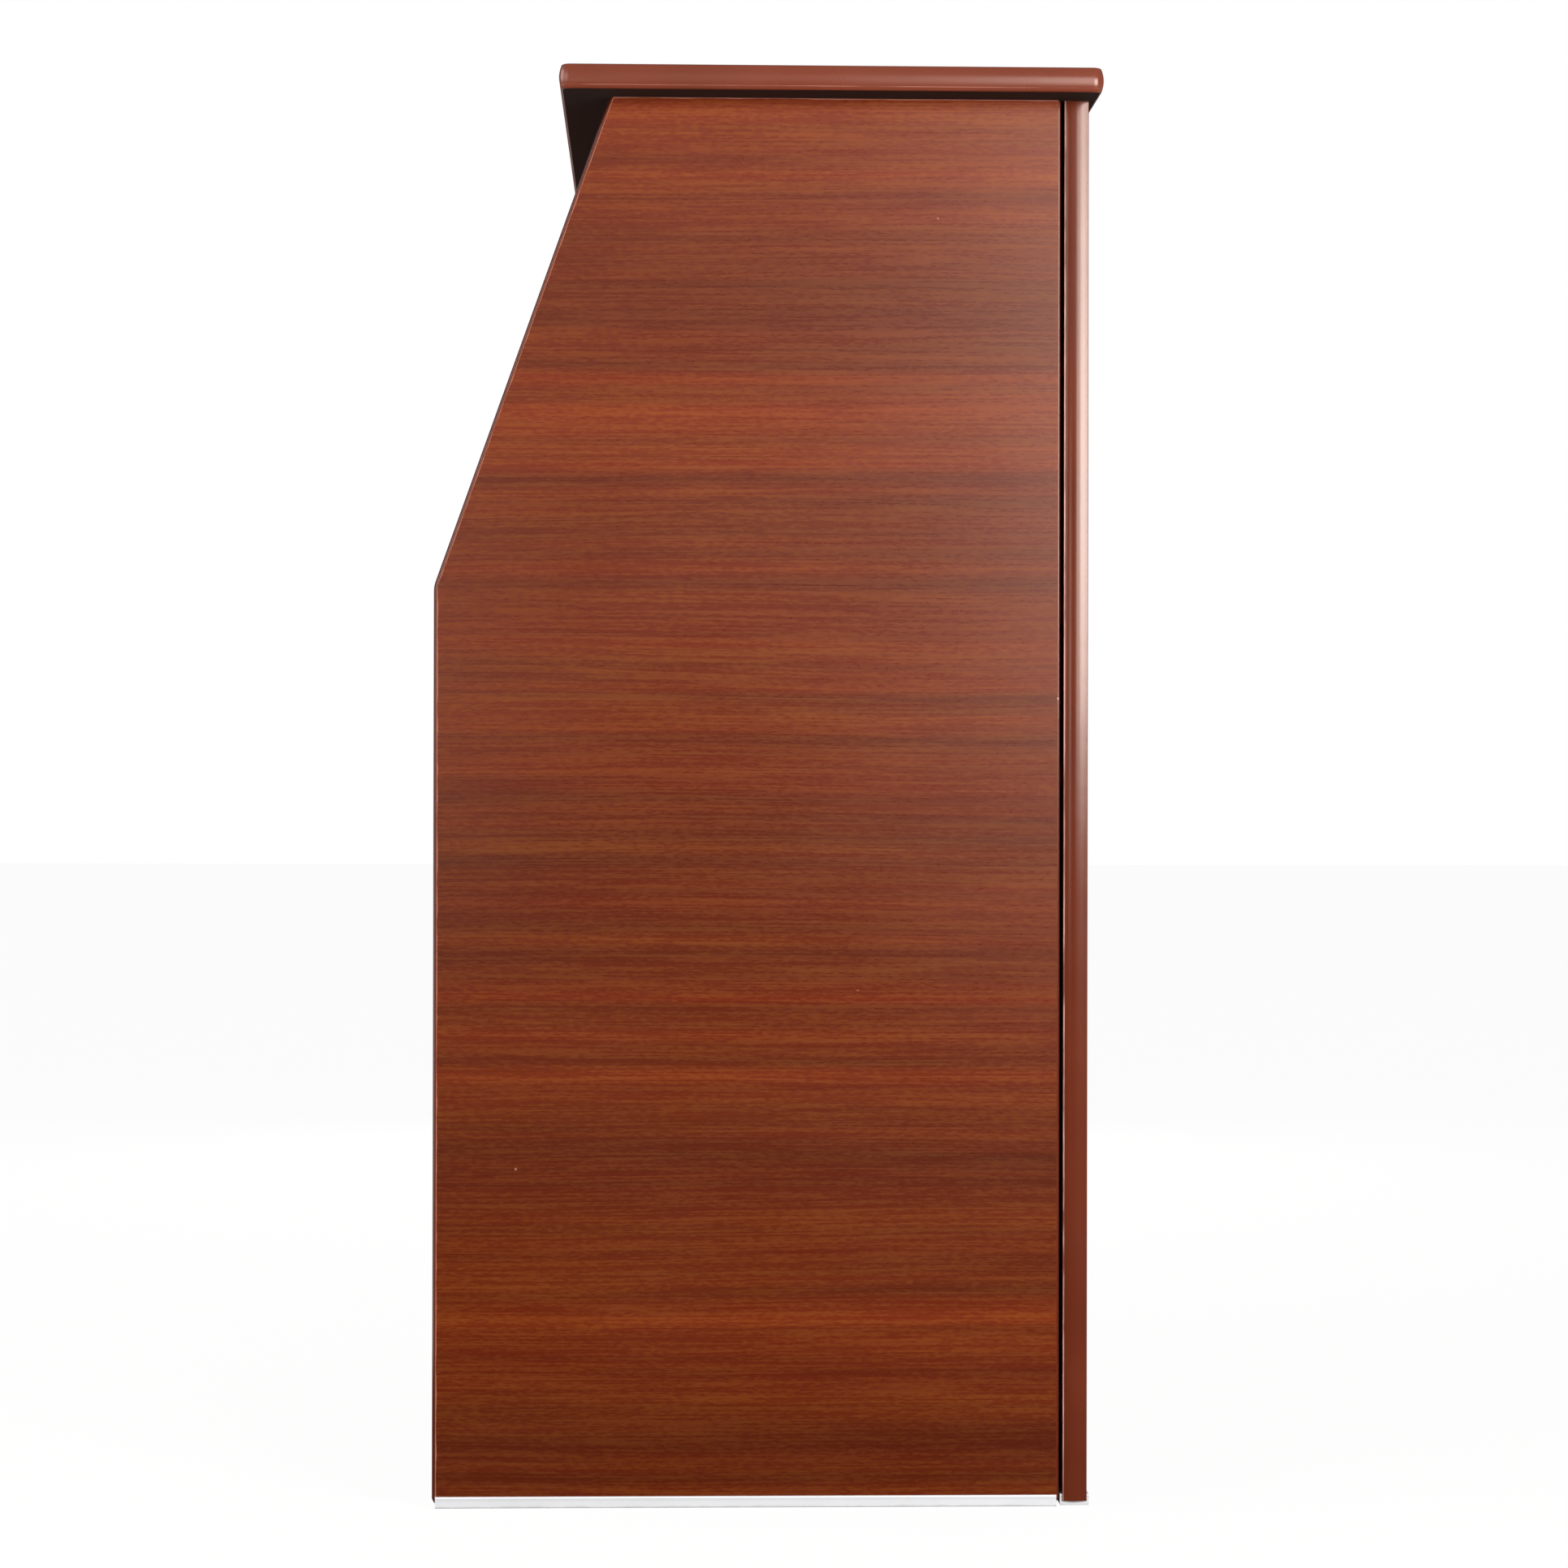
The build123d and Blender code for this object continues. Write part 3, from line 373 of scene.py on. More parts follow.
side_laminate = laminate("side laminate", Y, Z, X, (0.0, 0.0, 0.3), side_bands_and_painted_light=True)
across_laminate = laminate("across laminate", X, Z, Y, (0.4, 0.0, 1.7))
top_laminate = laminate("top laminate", X, Y, Z, (1.1, 0.3, 2.9), backed=True)
lid_laminate = laminate("lid laminate", X, lid_up, lid_out, (0.2, 0.5, 0.9))
finish_nodes(side_laminate, "side_panel_left", "side_panel_right")
finish_nodes(across_laminate, "back_panel", "plinth_board", "drawer_front")
finish_nodes(across_laminate, "door_panel_left", "door_panel_right")
finish_nodes(top_laminate, "top_panel")
finish_nodes(lid_laminate, "lid_panel")

# ---------------------------------------------------------------- boards of the inside
# The shelves, racks, partitions and drawer box are the same chipboard under a plain matt
# melamine of the same colour, with an iron-on strip of it on every edge that shows.
MELAMINE_SPECK = (0.40, 0.22, 0.15, 1)


def melamine(name, along, across, shift):
    material, tree, shader = new_material(name)
    place = vector_step(tree, "ADD", turned_to(tree, along, across), shift)
    wood = group_node(tree, wood_figure, Place=place, Bands=0.6, Pores=0.25)
    wear = group_node(tree, handling_wear, Place=place, Scale=30.0, Amount=0.8)
    colour = blended(tree, wear["Specks"], wood["Color"], MELAMINE_SPECK)
    pebble = noise(tree, place, scale=700.0)
    roughness = sloped(tree, wear["Haze"], -0.12, 0.58)
    plug(tree, shader, base_color=colour, roughness=roughness, specular_ior_level=0.25)
    plug(tree, shader, normal=bump(tree, pebble, strength=0.15, distance=0.0002))
    return material


level_melamine = melamine("level melamine", X, Y, (0.3, 0.7, 0.1))
upright_melamine = melamine("upright melamine", Y, Z, (0.9, 0.2, 0.4))
across_melamine = melamine("across melamine", X, Z, (0.6, 0.1, 0.8))
finish_nodes(level_melamine, "bottom_panel", "middle_board", "writing_board")
finish_nodes(level_melamine, "adjustable_shelf", "rack_shelf")
finish_nodes(upright_melamine, "lower_rack_dividers", "upper_rack_dividers")
finish_nodes(upright_melamine, "loper_partitions", "drawer_sides")
finish_nodes(across_melamine, "lid_stop_rail", "drawer_back")

# ---------------------------------------------------------------- T-moulding
# Every board edge that shows is covered by an extruded plastic moulding: a shallow dome
# as wide as the board, held by a barbed tongue that is hammered into a saw kerf. It goes
# on in one length round the top and round the knee of each side.
DEEP_PLASTIC, PALE_PLASTIC = (0.105, 0.018, 0.007, 1), (0.140, 0.026, 0.010, 1)
PLASTIC_SPECK = (0.62, 0.46, 0.38, 1)


def drawn_out(tree, place, along, coarse, fine, detail, roughness=0.5):
    """Noise with coarse counts per metre along one axis and fine ones across it."""
    counts = (coarse if part else fine for part in along)
    return noise(tree, stretched(tree, place, *counts), 1.0, detail, roughness)


def moulding_plastic(name, along, deep=DEEP_PLASTIC, pale=PALE_PLASTIC, dulled=0.18, arris=None):
    """Smooth red-brown plastic with fine drawing lines and a few pale nicks. An arris is a painted
    highlight: a broken pale line at one level across the moulding, with its width and its tone."""
    material, tree, shader = new_material(name)
    place = object_place(tree)
    base = ramp(tree, noise(tree, place, scale=9.0), (0.3, deep), (0.7, pale))
    wear = group_node(tree, handling_wear, Place=place, Scale=26.0, Amount=1.0)
    colour = blended(tree, wear["Specks"], base, PLASTIC_SPECK)
    if arris:
        across, level, width, tone = arris
        # A painted highlight along the arris, broken up along the moulding.
        line = arithmetic(tree, "COMPARE", reach_along(tree, place, across), level, width / 2)
        highlight_breaks = drawn_out(tree, place, along, 25.0, 300.0, detail=3.0, roughness=0.6)
        line = product(tree, line, ramp(tree, highlight_breaks, (0.35, 0.15), (0.6, 1.0)))
        colour = blended(tree, line, colour, tone)
    lines = drawn_out(tree, place, along, 4.0, 900.0, detail=1.0)
    height = sloped(tree, lines, 0.15, noise(tree, place, scale=55.0, detail=1.0))
    roughness = sloped(tree, wear["Haze"], 0.08, dulled)
    plug(tree, shader, base_color=colour, roughness=roughness, specular_ior_level=0.6)
    plug(tree, shader, specular_tint=WARM_GLOSS)
    plug(tree, shader, normal=bump(tree, height, strength=0.10, distance=0.0004))
    return material


# Sizes of the moulding, and of the tongue and its barbs that sit in the kerf.
BOARD = 0.019
CROWN = 0.003
SHOULDER = 0.0008
ARRIS = 0.0007
TOP_ARRIS = 0.0022
TONGUE = 0.009
TONGUE_CORE = 0.00075
KERF_HALF = 0.0012
BARBS = 3
BARB_PITCH = 0.0024
BARB_LENGTH = 0.0016
BARB_START = 0.0012
DOME_STEPS, ARRIS_STEPS = 16, 5
ARRIS_CLEAR, ARRIS_FLAT = 0.8, 0.9


def moulding_section(arris):
    """Half outline, dome down to tongue, then the other half; X is away from the board."""
    half = BOARD / 2
    rise = CROWN - SHOULDER
    radius = (half**2 + rise**2) / (2 * rise)
    edge = asin(half / radius)
    angles = [edge * i / DOME_STEPS for i in range(DOME_STEPS)]
    dome = [(CROWN - radius * (1 - cos(a)), radius * sin(a)) for a in angles]
    dome = [(out, wide) for out, wide in dome if wide < half - arris * ARRIS_CLEAR]
    middle_out, middle_wide = dome[-1][0] - arris * cos(edge), half - arris
    angles = [edge + (pi / 2 - edge) * i / ARRIS_STEPS for i in range(1, ARRIS_STEPS + 1)]
    corner = [
        (middle_out + arris * cos(a) * ARRIS_FLAT, middle_wide + arris * sin(a)) for a in angles
    ]
    flank = [(0.0, half), (0.0, TONGUE_CORE)]
    barbs = []
    for barb in range(BARBS):
        shoulder = -(BARB_START + barb * BARB_PITCH)
        barbs += [(shoulder, TONGUE_CORE), (shoulder, KERF_HALF)]
        barbs += [(shoulder - BARB_LENGTH, TONGUE_CORE)]
    side = dome + corner + flank + barbs + [(-TONGUE, TONGUE_CORE)]
    other = [(out, -wide) for out, wide in reversed(side) if wide > 0]
    return side + other


def placed(name, data):
    """An object of the data, in the scene, at the origin."""
    made = bpy.data.objects.new(name, data)
    bpy.context.scene.collection.objects.link(made)
    return made


def section_curve(name, outline):
    """A closed flat outline to be carried along a path."""
    curve = bpy.data.curves.new(name, "CURVE")
    curve.dimensions = "2D"
    line = curve.splines.new("POLY")
    line.points.add(len(outline) - 1)
    for point, (out, wide) in zip(line.points, outline):
        point.co = (out, wide, 0, 1)
    line.use_cyclic_u = True
    return placed(name, curve)


GEOMETRY, OBJECT, FINISH = "NodeSocketGeometry", "NodeSocketObject", "NodeSocketMaterial"


def geometry_tree(name, inputs, output):
    """An empty geometry node tree with its named inputs and one output."""
    tree = bpy.data.node_groups.new(name, "GeometryNodeTree")
    for title, kind in inputs.items():
        tree.interface.new_socket(title, in_out="INPUT", socket_type=kind)
    tree.interface.new_socket(output, in_out="OUTPUT", socket_type=GEOMETRY)
    return tree, tree.nodes.new("NodeGroupInput").outputs


def outward_direction(tree):
    inputs = {"Name": "outward"}
    made = add(tree, "GeometryNodeInputNamedAttribute", inputs, data_type="FLOAT_VECTOR")
    return made.outputs[0]


def put_out(tree, geometry, finish):
    """End a tree in plain geometry of one material."""
    real = add(tree, "GeometryNodeRealizeInstances", {"Geometry": geometry}).outputs[0]
    coated = add(tree, "GeometryNodeSetMaterial", {"Geometry": real, "Material": finish})
    tree.links.new(coated.outputs[0], tree.nodes.new("NodeGroupOutput").inputs[0])


def carry_along():
    """Geometry nodes that carry the section along a path whose points say which way is out."""
    inputs = {"Path": GEOMETRY, "Section": OBJECT, "Finish": FINISH}
    tree, ends = geometry_tree("carry along", inputs, "Moulding")
    path = add(tree, "GeometryNodeMeshToCurve", {"Mesh": ends["Path"]}).outputs[0]
    inputs = {"Curve": path, "Normal": outward_direction(tree)}
    faced = add(tree, "GeometryNodeSetCurveNormal", inputs, mode="FREE").outputs[0]
    section = add(tree, "GeometryNodeObjectInfo", {"Object": ends["Section"]})
    inputs = {"Curve": faced, "Profile Curve": section.outputs["Geometry"], "Fill Caps": True}
    swept = add(tree, "GeometryNodeCurveToMesh", inputs).outputs[0]
    put_out(tree, swept, ends["Finish"])
    return tree


def applied(name, made, tree, **inputs):
    """Run a node tree on a mesh once, and keep the result as a plain mesh object."""
    sockets = {s.name: s.identifier for s in tree.interface.items_tree if s.in_out == "INPUT"}
    modifier = made.modifiers.new(name, "NODES")
    modifier.node_group = tree
    for title, value in inputs.items():
        modifier[sockets[title]] = value
    view = bpy.context.evaluated_depsgraph_get()
    mesh = bpy.data.meshes.new_from_object(made.evaluated_get(view))
    made.modifiers.remove(modifier)
    bpy.data.objects.remove(made)
    return placed(name, mesh)


def path_object(name, stations, closed):
    """A line of points with the direction that faces out of the board at each."""
    mesh = bpy.data.meshes.new(name)
    count = len(stations)
    edges = [(i, (i + 1) % count) for i in range(count if closed else count - 1)]
    mesh.from_pydata([place for place, outward in stations], edges, [])
    facing = mesh.attributes.new("outward", "FLOAT_VECTOR", "POINT")
    for i, (place, outward) in enumerate(stations):
        facing.data[i].vector = outward
    return placed(name, mesh)


SHARPEST_SMOOTH = radians(35)


def smoothed(piece):
    piece.data.shade_smooth()
    piece.data.set_sharp_from_angle(angle=SHARPEST_SMOOTH)
    return piece


tongued_section = section_curve("tongued_section", moulding_section(ARRIS))
rounder_section = section_curve("rounder_section", moulding_section(TOP_ARRIS))
carry = carry_along()


def moulding(name, stations, finish, closed=False, section=tongued_section):
    path = path_object(name + "_path", stations, closed)
    return smoothed(applied(name, path, carry, Section=section, Finish=finish))


def join_pieces(name, pieces):
    """One object of several that ride together."""
    mesh = bpy.data.meshes.new(name)
    whole = bmesh.new()
    for piece in pieces:
        whole.from_mesh(piece.data)
    whole.to_mesh(mesh)
    whole.free()
    mesh.materials.append(pieces[0].data.materials[0])
    for piece in pieces:
        bpy.data.objects.remove(piece)
    return placed(name, mesh)


def cut_back(piece, place, direction):
    """Slice the piece and close it, keeping what lies behind the direction."""
    form = bmesh.new()
    form.from_mesh(piece.data)
    whole = form.verts[:] + form.edges[:] + form.faces[:]
    plane = {"plane_co": place, "plane_no": direction}
    sliced = bmesh.ops.bisect_plane(form, geom=whole, clear_outer=True, **plane)
    rim = [e for e in sliced["geom_cut"] if isinstance(e, bmesh.types.BMEdge)]
    bmesh.ops.holes_fill(form, edges=rim)
    form.to_mesh(piece.data)
    form.free()


def put_on(piece, body, slot, *stands_for):
    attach(piece, body)
    if stands_for:
        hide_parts(*stands_for)


upright_plastic = moulding_plastic("upright moulding plastic", Z)
cross_plastic = moulding_plastic("cross moulding plastic", X)

top_low, top_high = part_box("top_moulding")
# A painted highlight runs along the top moulding just above its lower edge.
TOP_HIGHLIGHT_UP, TOP_HIGHLIGHT_WIDTH, TOP_HIGHLIGHT_TONE = 0.0029, 0.0006, (0.33, 0.125, 0.085, 1)
# Painted light: the top moulding's colours are a lighter copy of the uprights' plastic.
TOP_LIT_DEEP, TOP_LIT_PALE, TOP_DULLED = (0.155, 0.031, 0.014, 1), (0.195, 0.042, 0.021, 1), 0.25
top_highlight = (Z, top_low.z + TOP_HIGHLIGHT_UP, TOP_HIGHLIGHT_WIDTH, TOP_HIGHLIGHT_TONE)
level_plastic = moulding_plastic(
    "level moulding plastic", Y, TOP_LIT_DEEP, TOP_LIT_PALE, TOP_DULLED, top_highlight
)
CORNER_RADIUS, CORNER_STEPS = 0.006, 10
middle_z = (top_low.z + top_high.z) / 2
top_path = []
for quarter, (sx, sy) in enumerate(((1, 1), (-1, 1), (-1, -1), (1, -1))):
    centre_x = (top_high.x if sx > 0 else top_low.x) - sx * (CROWN + CORNER_RADIUS)
    centre_y = (top_high.y if sy > 0 else top_low.y) - sy * (CROWN + CORNER_RADIUS)
    centre = Vector((centre_x, centre_y, middle_z))
    for step in range(CORNER_STEPS + 1):
        angle = (quarter + step / CORNER_STEPS) * pi / 2
        outward = Vector((cos(angle), sin(angle), 0))
        top_path.append((centre + outward * CORNER_RADIUS, outward))
top_moulding = moulding("top_edge_moulding", top_path, level_plastic, True, rounder_section)
put_on(top_moulding, "case", "moulding", "top_moulding")

FORWARD = (0, -1, 0)
KNEE_RADIUS, KNEE_STEPS = 0.020, 8
front_low, front_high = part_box("side_front_moulding_right")


def side_front_path(x):
    """Up the front edge of a side, round the knee and up the slant."""
    drop = CROWN * (1 / cos(lid_lean) - tan(lid_lean))
    knee = Vector((x, front_low.y + CROWN, SIDE_KNEE - drop))
    bend = pi / 2 - lid_lean
    centre = knee + Vector((0, KNEE_RADIUS, -KNEE_RADIUS * tan(bend / 2)))
    stations = [(Vector((x, knee.y, front_low.z)), Vector(FORWARD))]
    for step in range(KNEE_STEPS + 1):
        angle = bend * step / KNEE_STEPS
        outward = Vector((0, -cos(angle), sin(angle)))
        stations.append((centre + outward * KNEE_RADIUS, outward))
    slant = (front_high.z + 2 * CROWN - knee.z) / sin(lid_lean)
    stations.append((knee + Vector(lid_up) * slant, Vector(lid_out)))
    return stations


for side in ("left", "right"):
    low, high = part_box("side_front_moulding_" + side)
    path = side_front_path((low.x + high.x) / 2)
    piece = moulding("side_front_edge_" + side, path, upright_plastic)
    cut_back(piece, (0, 0, high.z), (0, 0, 1))
    cut_back(piece, (0, low.y + CROWN, low.z), (0, -1, -1))
    put_on(smoothed(piece), "case", "moulding", "side_front_moulding_" + side)


def straight_moulding(name, ends, outward, finish):
    return moulding(name, [(Vector(place), Vector(outward)) for place in ends], finish)


rear_low, rear_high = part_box("side_rear_mouldings")
rear_x, rear_y = rear_high.x - BOARD / 2, rear_high.y - CROWN
rears = []
for x in (-rear_x, rear_x):
    ends = (x, rear_y, rear_low.z), (x, rear_y, rear_high.z)
    piece = straight_moulding("side_rear_edge", ends, Y, upright_plastic)
    cut_back(piece, (0, rear_y, rear_low.z), (0, 1, -1))
    rears.append(piece)
put_on(smoothed(join_pieces("side_rear_edges", rears)), "case", "moulding", "side_rear_mouldings")

back_low, back_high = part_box("back_mouldings")
# A painted highlight runs down the front arris of the back's end mouldings.
BACK_HIGHLIGHT_IN, BACK_HIGHLIGHT_WIDTH, BACK_HIGHLIGHT_TONE = 0.0007, 0.0010, (0.62, 0.36, 0.30, 1)
back_highlight = (Y, back_low.y + BACK_HIGHLIGHT_IN, BACK_HIGHLIGHT_WIDTH, BACK_HIGHLIGHT_TONE)
back_plastic = moulding_plastic("back moulding plastic", Z, arris=back_highlight)
back_y = (back_low.y + back_high.y) / 2
backs = []
for sign in (-1, 1):
    x = sign * (back_high.x - CROWN)
    ends = (x, back_y, back_low.z), (x, back_y, back_high.z)
    backs.append(straight_moulding("back_edge", ends, (sign, 0, 0), back_plastic))
put_on(smoothed(join_pieces("back_edges", backs)), "case", "moulding", "back_mouldings")

shelf_low, shelf_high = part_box("shelf_mouldings")
shelf_y = shelf_low.y + CROWN
strips = []
for z in (shelf_low.z + BOARD / 2, shelf_high.z - BOARD / 2):
    ends = (shelf_low.x, shelf_y, z), (shelf_high.x, shelf_y, z)
    strips.append(straight_moulding("shelf_edge", ends, FORWARD, cross_plastic))
put_on(smoothed(join_pieces("shelf_edges", strips)), "case", "moulding", "shelf_mouldings")
for section in (tongued_section, rounder_section):
    bpy.data.objects.remove(section)

finish_nodes(cross_plastic, "lid_edging", "drawer_front_edging")
finish_nodes(cross_plastic, "door_edging_left", "door_edging_right")

# ---------------------------------------------------------------- floor channels
# A plain off-white plastic channel is pushed over the lower edge of each side and of the
# back. It keeps the chipboard off a wet floor and picks up scuffs where it is dragged.
CHANNEL_GREY, CHANNEL_PALE = (0.64, 0.67, 0.695, 1), (0.72, 0.75, 0.785, 1)
# The channel turns greyer and greener over its lowest few millimetres, towards the floor.
FOOT_GREY, FOOT_GREY_COVER, FOOT_GREY_RAGGED = (0.36, 0.37, 0.33, 1), 0.55, 0.004
TO_CENTIMETRES = 100.0
LIP_GLEAM, LIP_SHADE = 1.25, 0.90
# Brightness against height in centimetres: painted shade just under the lip and a painted
# highlight on it.
CHANNEL_GLEAMS = ((0.50, 1.0), (0.62, LIP_SHADE), (0.72, LIP_SHADE), (0.79, LIP_GLEAM))


def channel_plastic():
    material, tree, shader = new_material("channel plastic")
    place = object_place(tree)
    height = axes(tree, place)["Z"]
    # Greyer towards the bottom, with a ragged top to the grey.
    ragged = product(tree, noise(tree, place, scale=60.0, detail=3.0), FOOT_GREY_RAGGED)
    ragged_height = product(tree, arithmetic(tree, "ADD", height, ragged), TO_CENTIMETRES)
    foot_share = ramp(tree, ragged_height, (0.14, 1.0), (0.40, 0.0))
    colour = blended(tree, noise(tree, place, scale=14.0), CHANNEL_GREY, CHANNEL_PALE)
    colour = blended(tree, product(tree, foot_share, FOOT_GREY_COVER), colour, FOOT_GREY)
    gleams = [(level, gleam / LIP_GLEAM) for level, gleam in CHANNEL_GLEAMS]
    # Painted shade under the lip and a painted highlight on it.
    painted_lip_light = ramp(tree, product(tree, height, TO_CENTIMETRES), *gleams)
    colour = vector_step(tree, "MULTIPLY", colour, product(tree, painted_lip_light, LIP_GLEAM))
    scuffs = noise(tree, stretched(tree, place, 30.0, 30.0, 900.0))
    plug(tree, shader, base_color=colour, roughness=0.38, specular_ior_level=0.4)
    plug(tree, shader, normal=bump(tree, scuffs, strength=0.2, distance=0.0002))
    return material


off_white = channel_plastic()
finish_nodes(off_white, "side_floor_channel_left", "side_floor_channel_right")
finish_nodes(off_white, "back_floor_channel")

# ---------------------------------------------------------------- lopers and drawer bottom
# The lopers are solid hardwood, stained to match and lacquered. The drawer bottom is
# thin hardboard slid into grooves.
LOPER_STAIN = {
    "Dark": (0.05, 0.012, 0.005, 1),
    "Middle": (0.15, 0.036, 0.012, 1),
    "Light": (0.25, 0.075, 0.026, 1),
}


def stained_hardwood():
    material, tree, shader = new_material("stained hardwood")
    place = vector_step(tree, "ADD", turned_to(tree, Y, Z), (0.2, 0.6, 0.3))
    wood = group_node(tree, wood_figure, Place=place, Pores=0.9, **LOPER_STAIN)
    plug(tree, shader, base_color=wood["Color"], roughness=wood["Roughness"])
    plug(tree, shader, coat_weight=0.25, coat_roughness=0.25)
    plug(tree, shader, normal=bump(tree, wood["Height"], strength=0.3, distance=0.0003))
    return material


HARDBOARD_DEEP, HARDBOARD_PALE = (0.11, 0.055, 0.026, 1), (0.24, 0.13, 0.065, 1)


def hardboard():
    material, tree, shader = new_material("hardboard")
    place = object_place(tree)
    felt = noise(tree, place, scale=900.0, detail=3.0, roughness=0.7)
    mottle = noise(tree, place, scale=70.0, detail=3.0, roughness=0.6)
    shade = sloped(tree, felt, 0.5, product(tree, mottle, 0.5))
    colour = ramp(tree, shade, (0.3, HARDBOARD_DEEP), (0.7, HARDBOARD_PALE))
    plug(tree, shader, base_color=colour, roughness=0.55)
    plug(tree, shader, normal=bump(tree, felt, strength=0.25, distance=0.0002))
    return material


finish_nodes(stained_hardwood(), "loper_left", "loper_right")
finish_nodes(hardboard(), "drawer_bottom")

# ---------------------------------------------------------------- metal fittings
# The continuous hinges are brassed steel strip rolled round a pin. The flush pulls are
# cast brass, darkened and wiped so that the flange shines and the cup stays brown. The
# runners, angles, shelf pins and strike plates are zinc-plated steel.
HINGE_BRIGHT, HINGE_DULL = (0.72, 0.52, 0.24, 1), (0.34, 0.22, 0.10, 1)
PULL_BRIGHT, PULL_DULL = (0.70, 0.49, 0.22, 1), (0.24, 0.145, 0.06, 1)
ZINC_BRIGHT, ZINC_DULL = (0.62, 0.63, 0.64, 1), (0.42, 0.42, 0.41, 1)
UNBRUSHED = (0, 0, 0)


def metal(name, bright, dull, smoothest, brushed=UNBRUSHED, tarnish=0.5):
    """Polished or plated metal whose tarnish is duller and rougher than its bright parts."""
    material, tree, shader = new_material(name)
    place = object_place(tree)
    lines = drawn_out(tree, place, brushed, 8.0, 1300.0, detail=2.0)
    stain = noise(tree, place, scale=45.0, detail=4.0, roughness=0.6)
    stain = product(tree, ramp(tree, stain, (0.42, 0.0), (0.70, 1.0)), tarnish)
    roughness = sloped(tree, lines, 0.08, sloped(tree, stain, 0.18, smoothest))
    colour = blended(tree, stain, bright, dull)
    plug(tree, shader, base_color=colour, metallic=1.0, roughness=roughness)
    plug(tree, shader, normal=bump(tree, lines, strength=0.08, distance=0.0001))
    return material


hinge_brass = metal("brassed steel", HINGE_BRIGHT, HINGE_DULL, 0.30, brushed=X)
pull_brass = metal("antique brass", PULL_BRIGHT, PULL_DULL, 0.26, tarnish=0.8)
zinc = metal("zinc plate", ZINC_BRIGHT, ZINC_DULL, 0.34, brushed=Y, tarnish=0.6)
finish_nodes(hinge_brass, "lid_hinge_fixed_leaf", "lid_hinge_leaf", "lid_hinge_pin")
finish_nodes(hinge_brass, "door_hinge_pins")
finish_nodes(pull_brass, "lid_pull", "drawer_pull")
finish_nodes(zinc, "drawer_runners_fixed", "drawer_runners_sliding")
finish_nodes(zinc, "top_brackets", "shelf_pins", "lid_strikes")
for side in ("left", "right"):
    finish_nodes(hinge_brass, "door_hinge_leaf_" + side, "door_hinge_fixed_leaf_" + side)
    finish_nodes(pull_brass, "door_pull_" + side)
    finish_nodes(zinc, "door_strike_" + side)

# ---------------------------------------------------------------- magnetic catches
# Each catch is a dark brown moulded block screwed under its board, with a magnet behind
# its front face that holds the thin steel strike let into the lid or the door.
CATCH_DEEP, CATCH_PALE = (0.030, 0.014, 0.009, 1), (0.050, 0.024, 0.016, 1)


def catch_plastic():
    material, tree, shader = new_material("catch plastic")
    place = object_place(tree)
    colour = blended(tree, noise(tree, place, scale=60.0), CATCH_DEEP, CATCH_PALE)
    spark = noise(tree, place, scale=1600.0)
    plug(tree, shader, base_color=colour, roughness=0.48)
    plug(tree, shader, normal=bump(tree, spark, strength=0.3, distance=0.0001))
    return material


finish_nodes(catch_plastic(), "lid_catches", "door_catch")

# ---------------------------------------------------------------- screws
# Countersunk brassed screws hold the hinges, small dark ones the pulls, and zinc-plated
# pan-head screws the angles and the catches. All have a cross recess and are left at
# whatever turn they bit.

# Shares of a head's radius and height, ring by ring up its dome and into its recess.
DOME_RINGS = ((1.0, 0.0), (1.0, 0.25), (0.93, 0.62), (0.80, 0.88))
CROWN_RADIUS, RECESS_EDGE, RECESS_LIP, RECESS_TAPER = 0.62, 1.05, 0.98, 0.72
ARM_LENGTH, ARM_WIDTH = 0.56, 0.14
BETWEEN_ARMS = (pi / 6.2, pi / 4, pi / 2 - pi / 6.2)


def screw_head(name, radius, height, floor):
    """Low dome with a cross recess, standing on its plate at the origin, top towards +Z."""
    arm_length, arm_width = radius * ARM_LENGTH, radius * ARM_WIDTH
    tip = atan2(arm_width, arm_length)
    turns = sorted(k * pi / 2 + a for k in range(4) for a in (-tip, 0, tip, *BETWEEN_ARMS))
    count = len(turns)
    form = bmesh.new()

    def ring(reach, lift):
        return [form.verts.new((reach(a) * cos(a), reach(a) * sin(a), lift)) for a in turns]

    def cross(angle):
        off = abs((angle + pi / 4) % (pi / 2) - pi / 4)
        return arm_length / cos(off) if off <= tip + 1e-6 else arm_width / sin(off)

    rings = [ring(lambda a: radius * share, height * lift) for share, lift in DOME_RINGS]
    rings.append(ring(lambda a: max(radius * CROWN_RADIUS, cross(a) * RECESS_EDGE), height))
    rings.append(ring(cross, height * RECESS_LIP))
    rings.append(ring(lambda a: cross(a) * RECESS_TAPER, floor))
    for lower, upper in zip(rings, rings[1:]):
        for i in range(count):
            j = (i + 1) % count
            form.faces.new((lower[i], lower[j], upper[j], upper[i]))
    form.faces.new(rings[-1])
    form.faces.new(list(reversed(rings[0])))
    bmesh.ops.recalc_face_normals(form, faces=form.faces)
    mesh = bpy.data.meshes.new(name)
    form.to_mesh(mesh)
    form.free()
    return placed(name, mesh)


# Sockets of the random value node for a plain number: its most, and its result.
RANDOM_MOST, RANDOM_RESULT = 3, 1


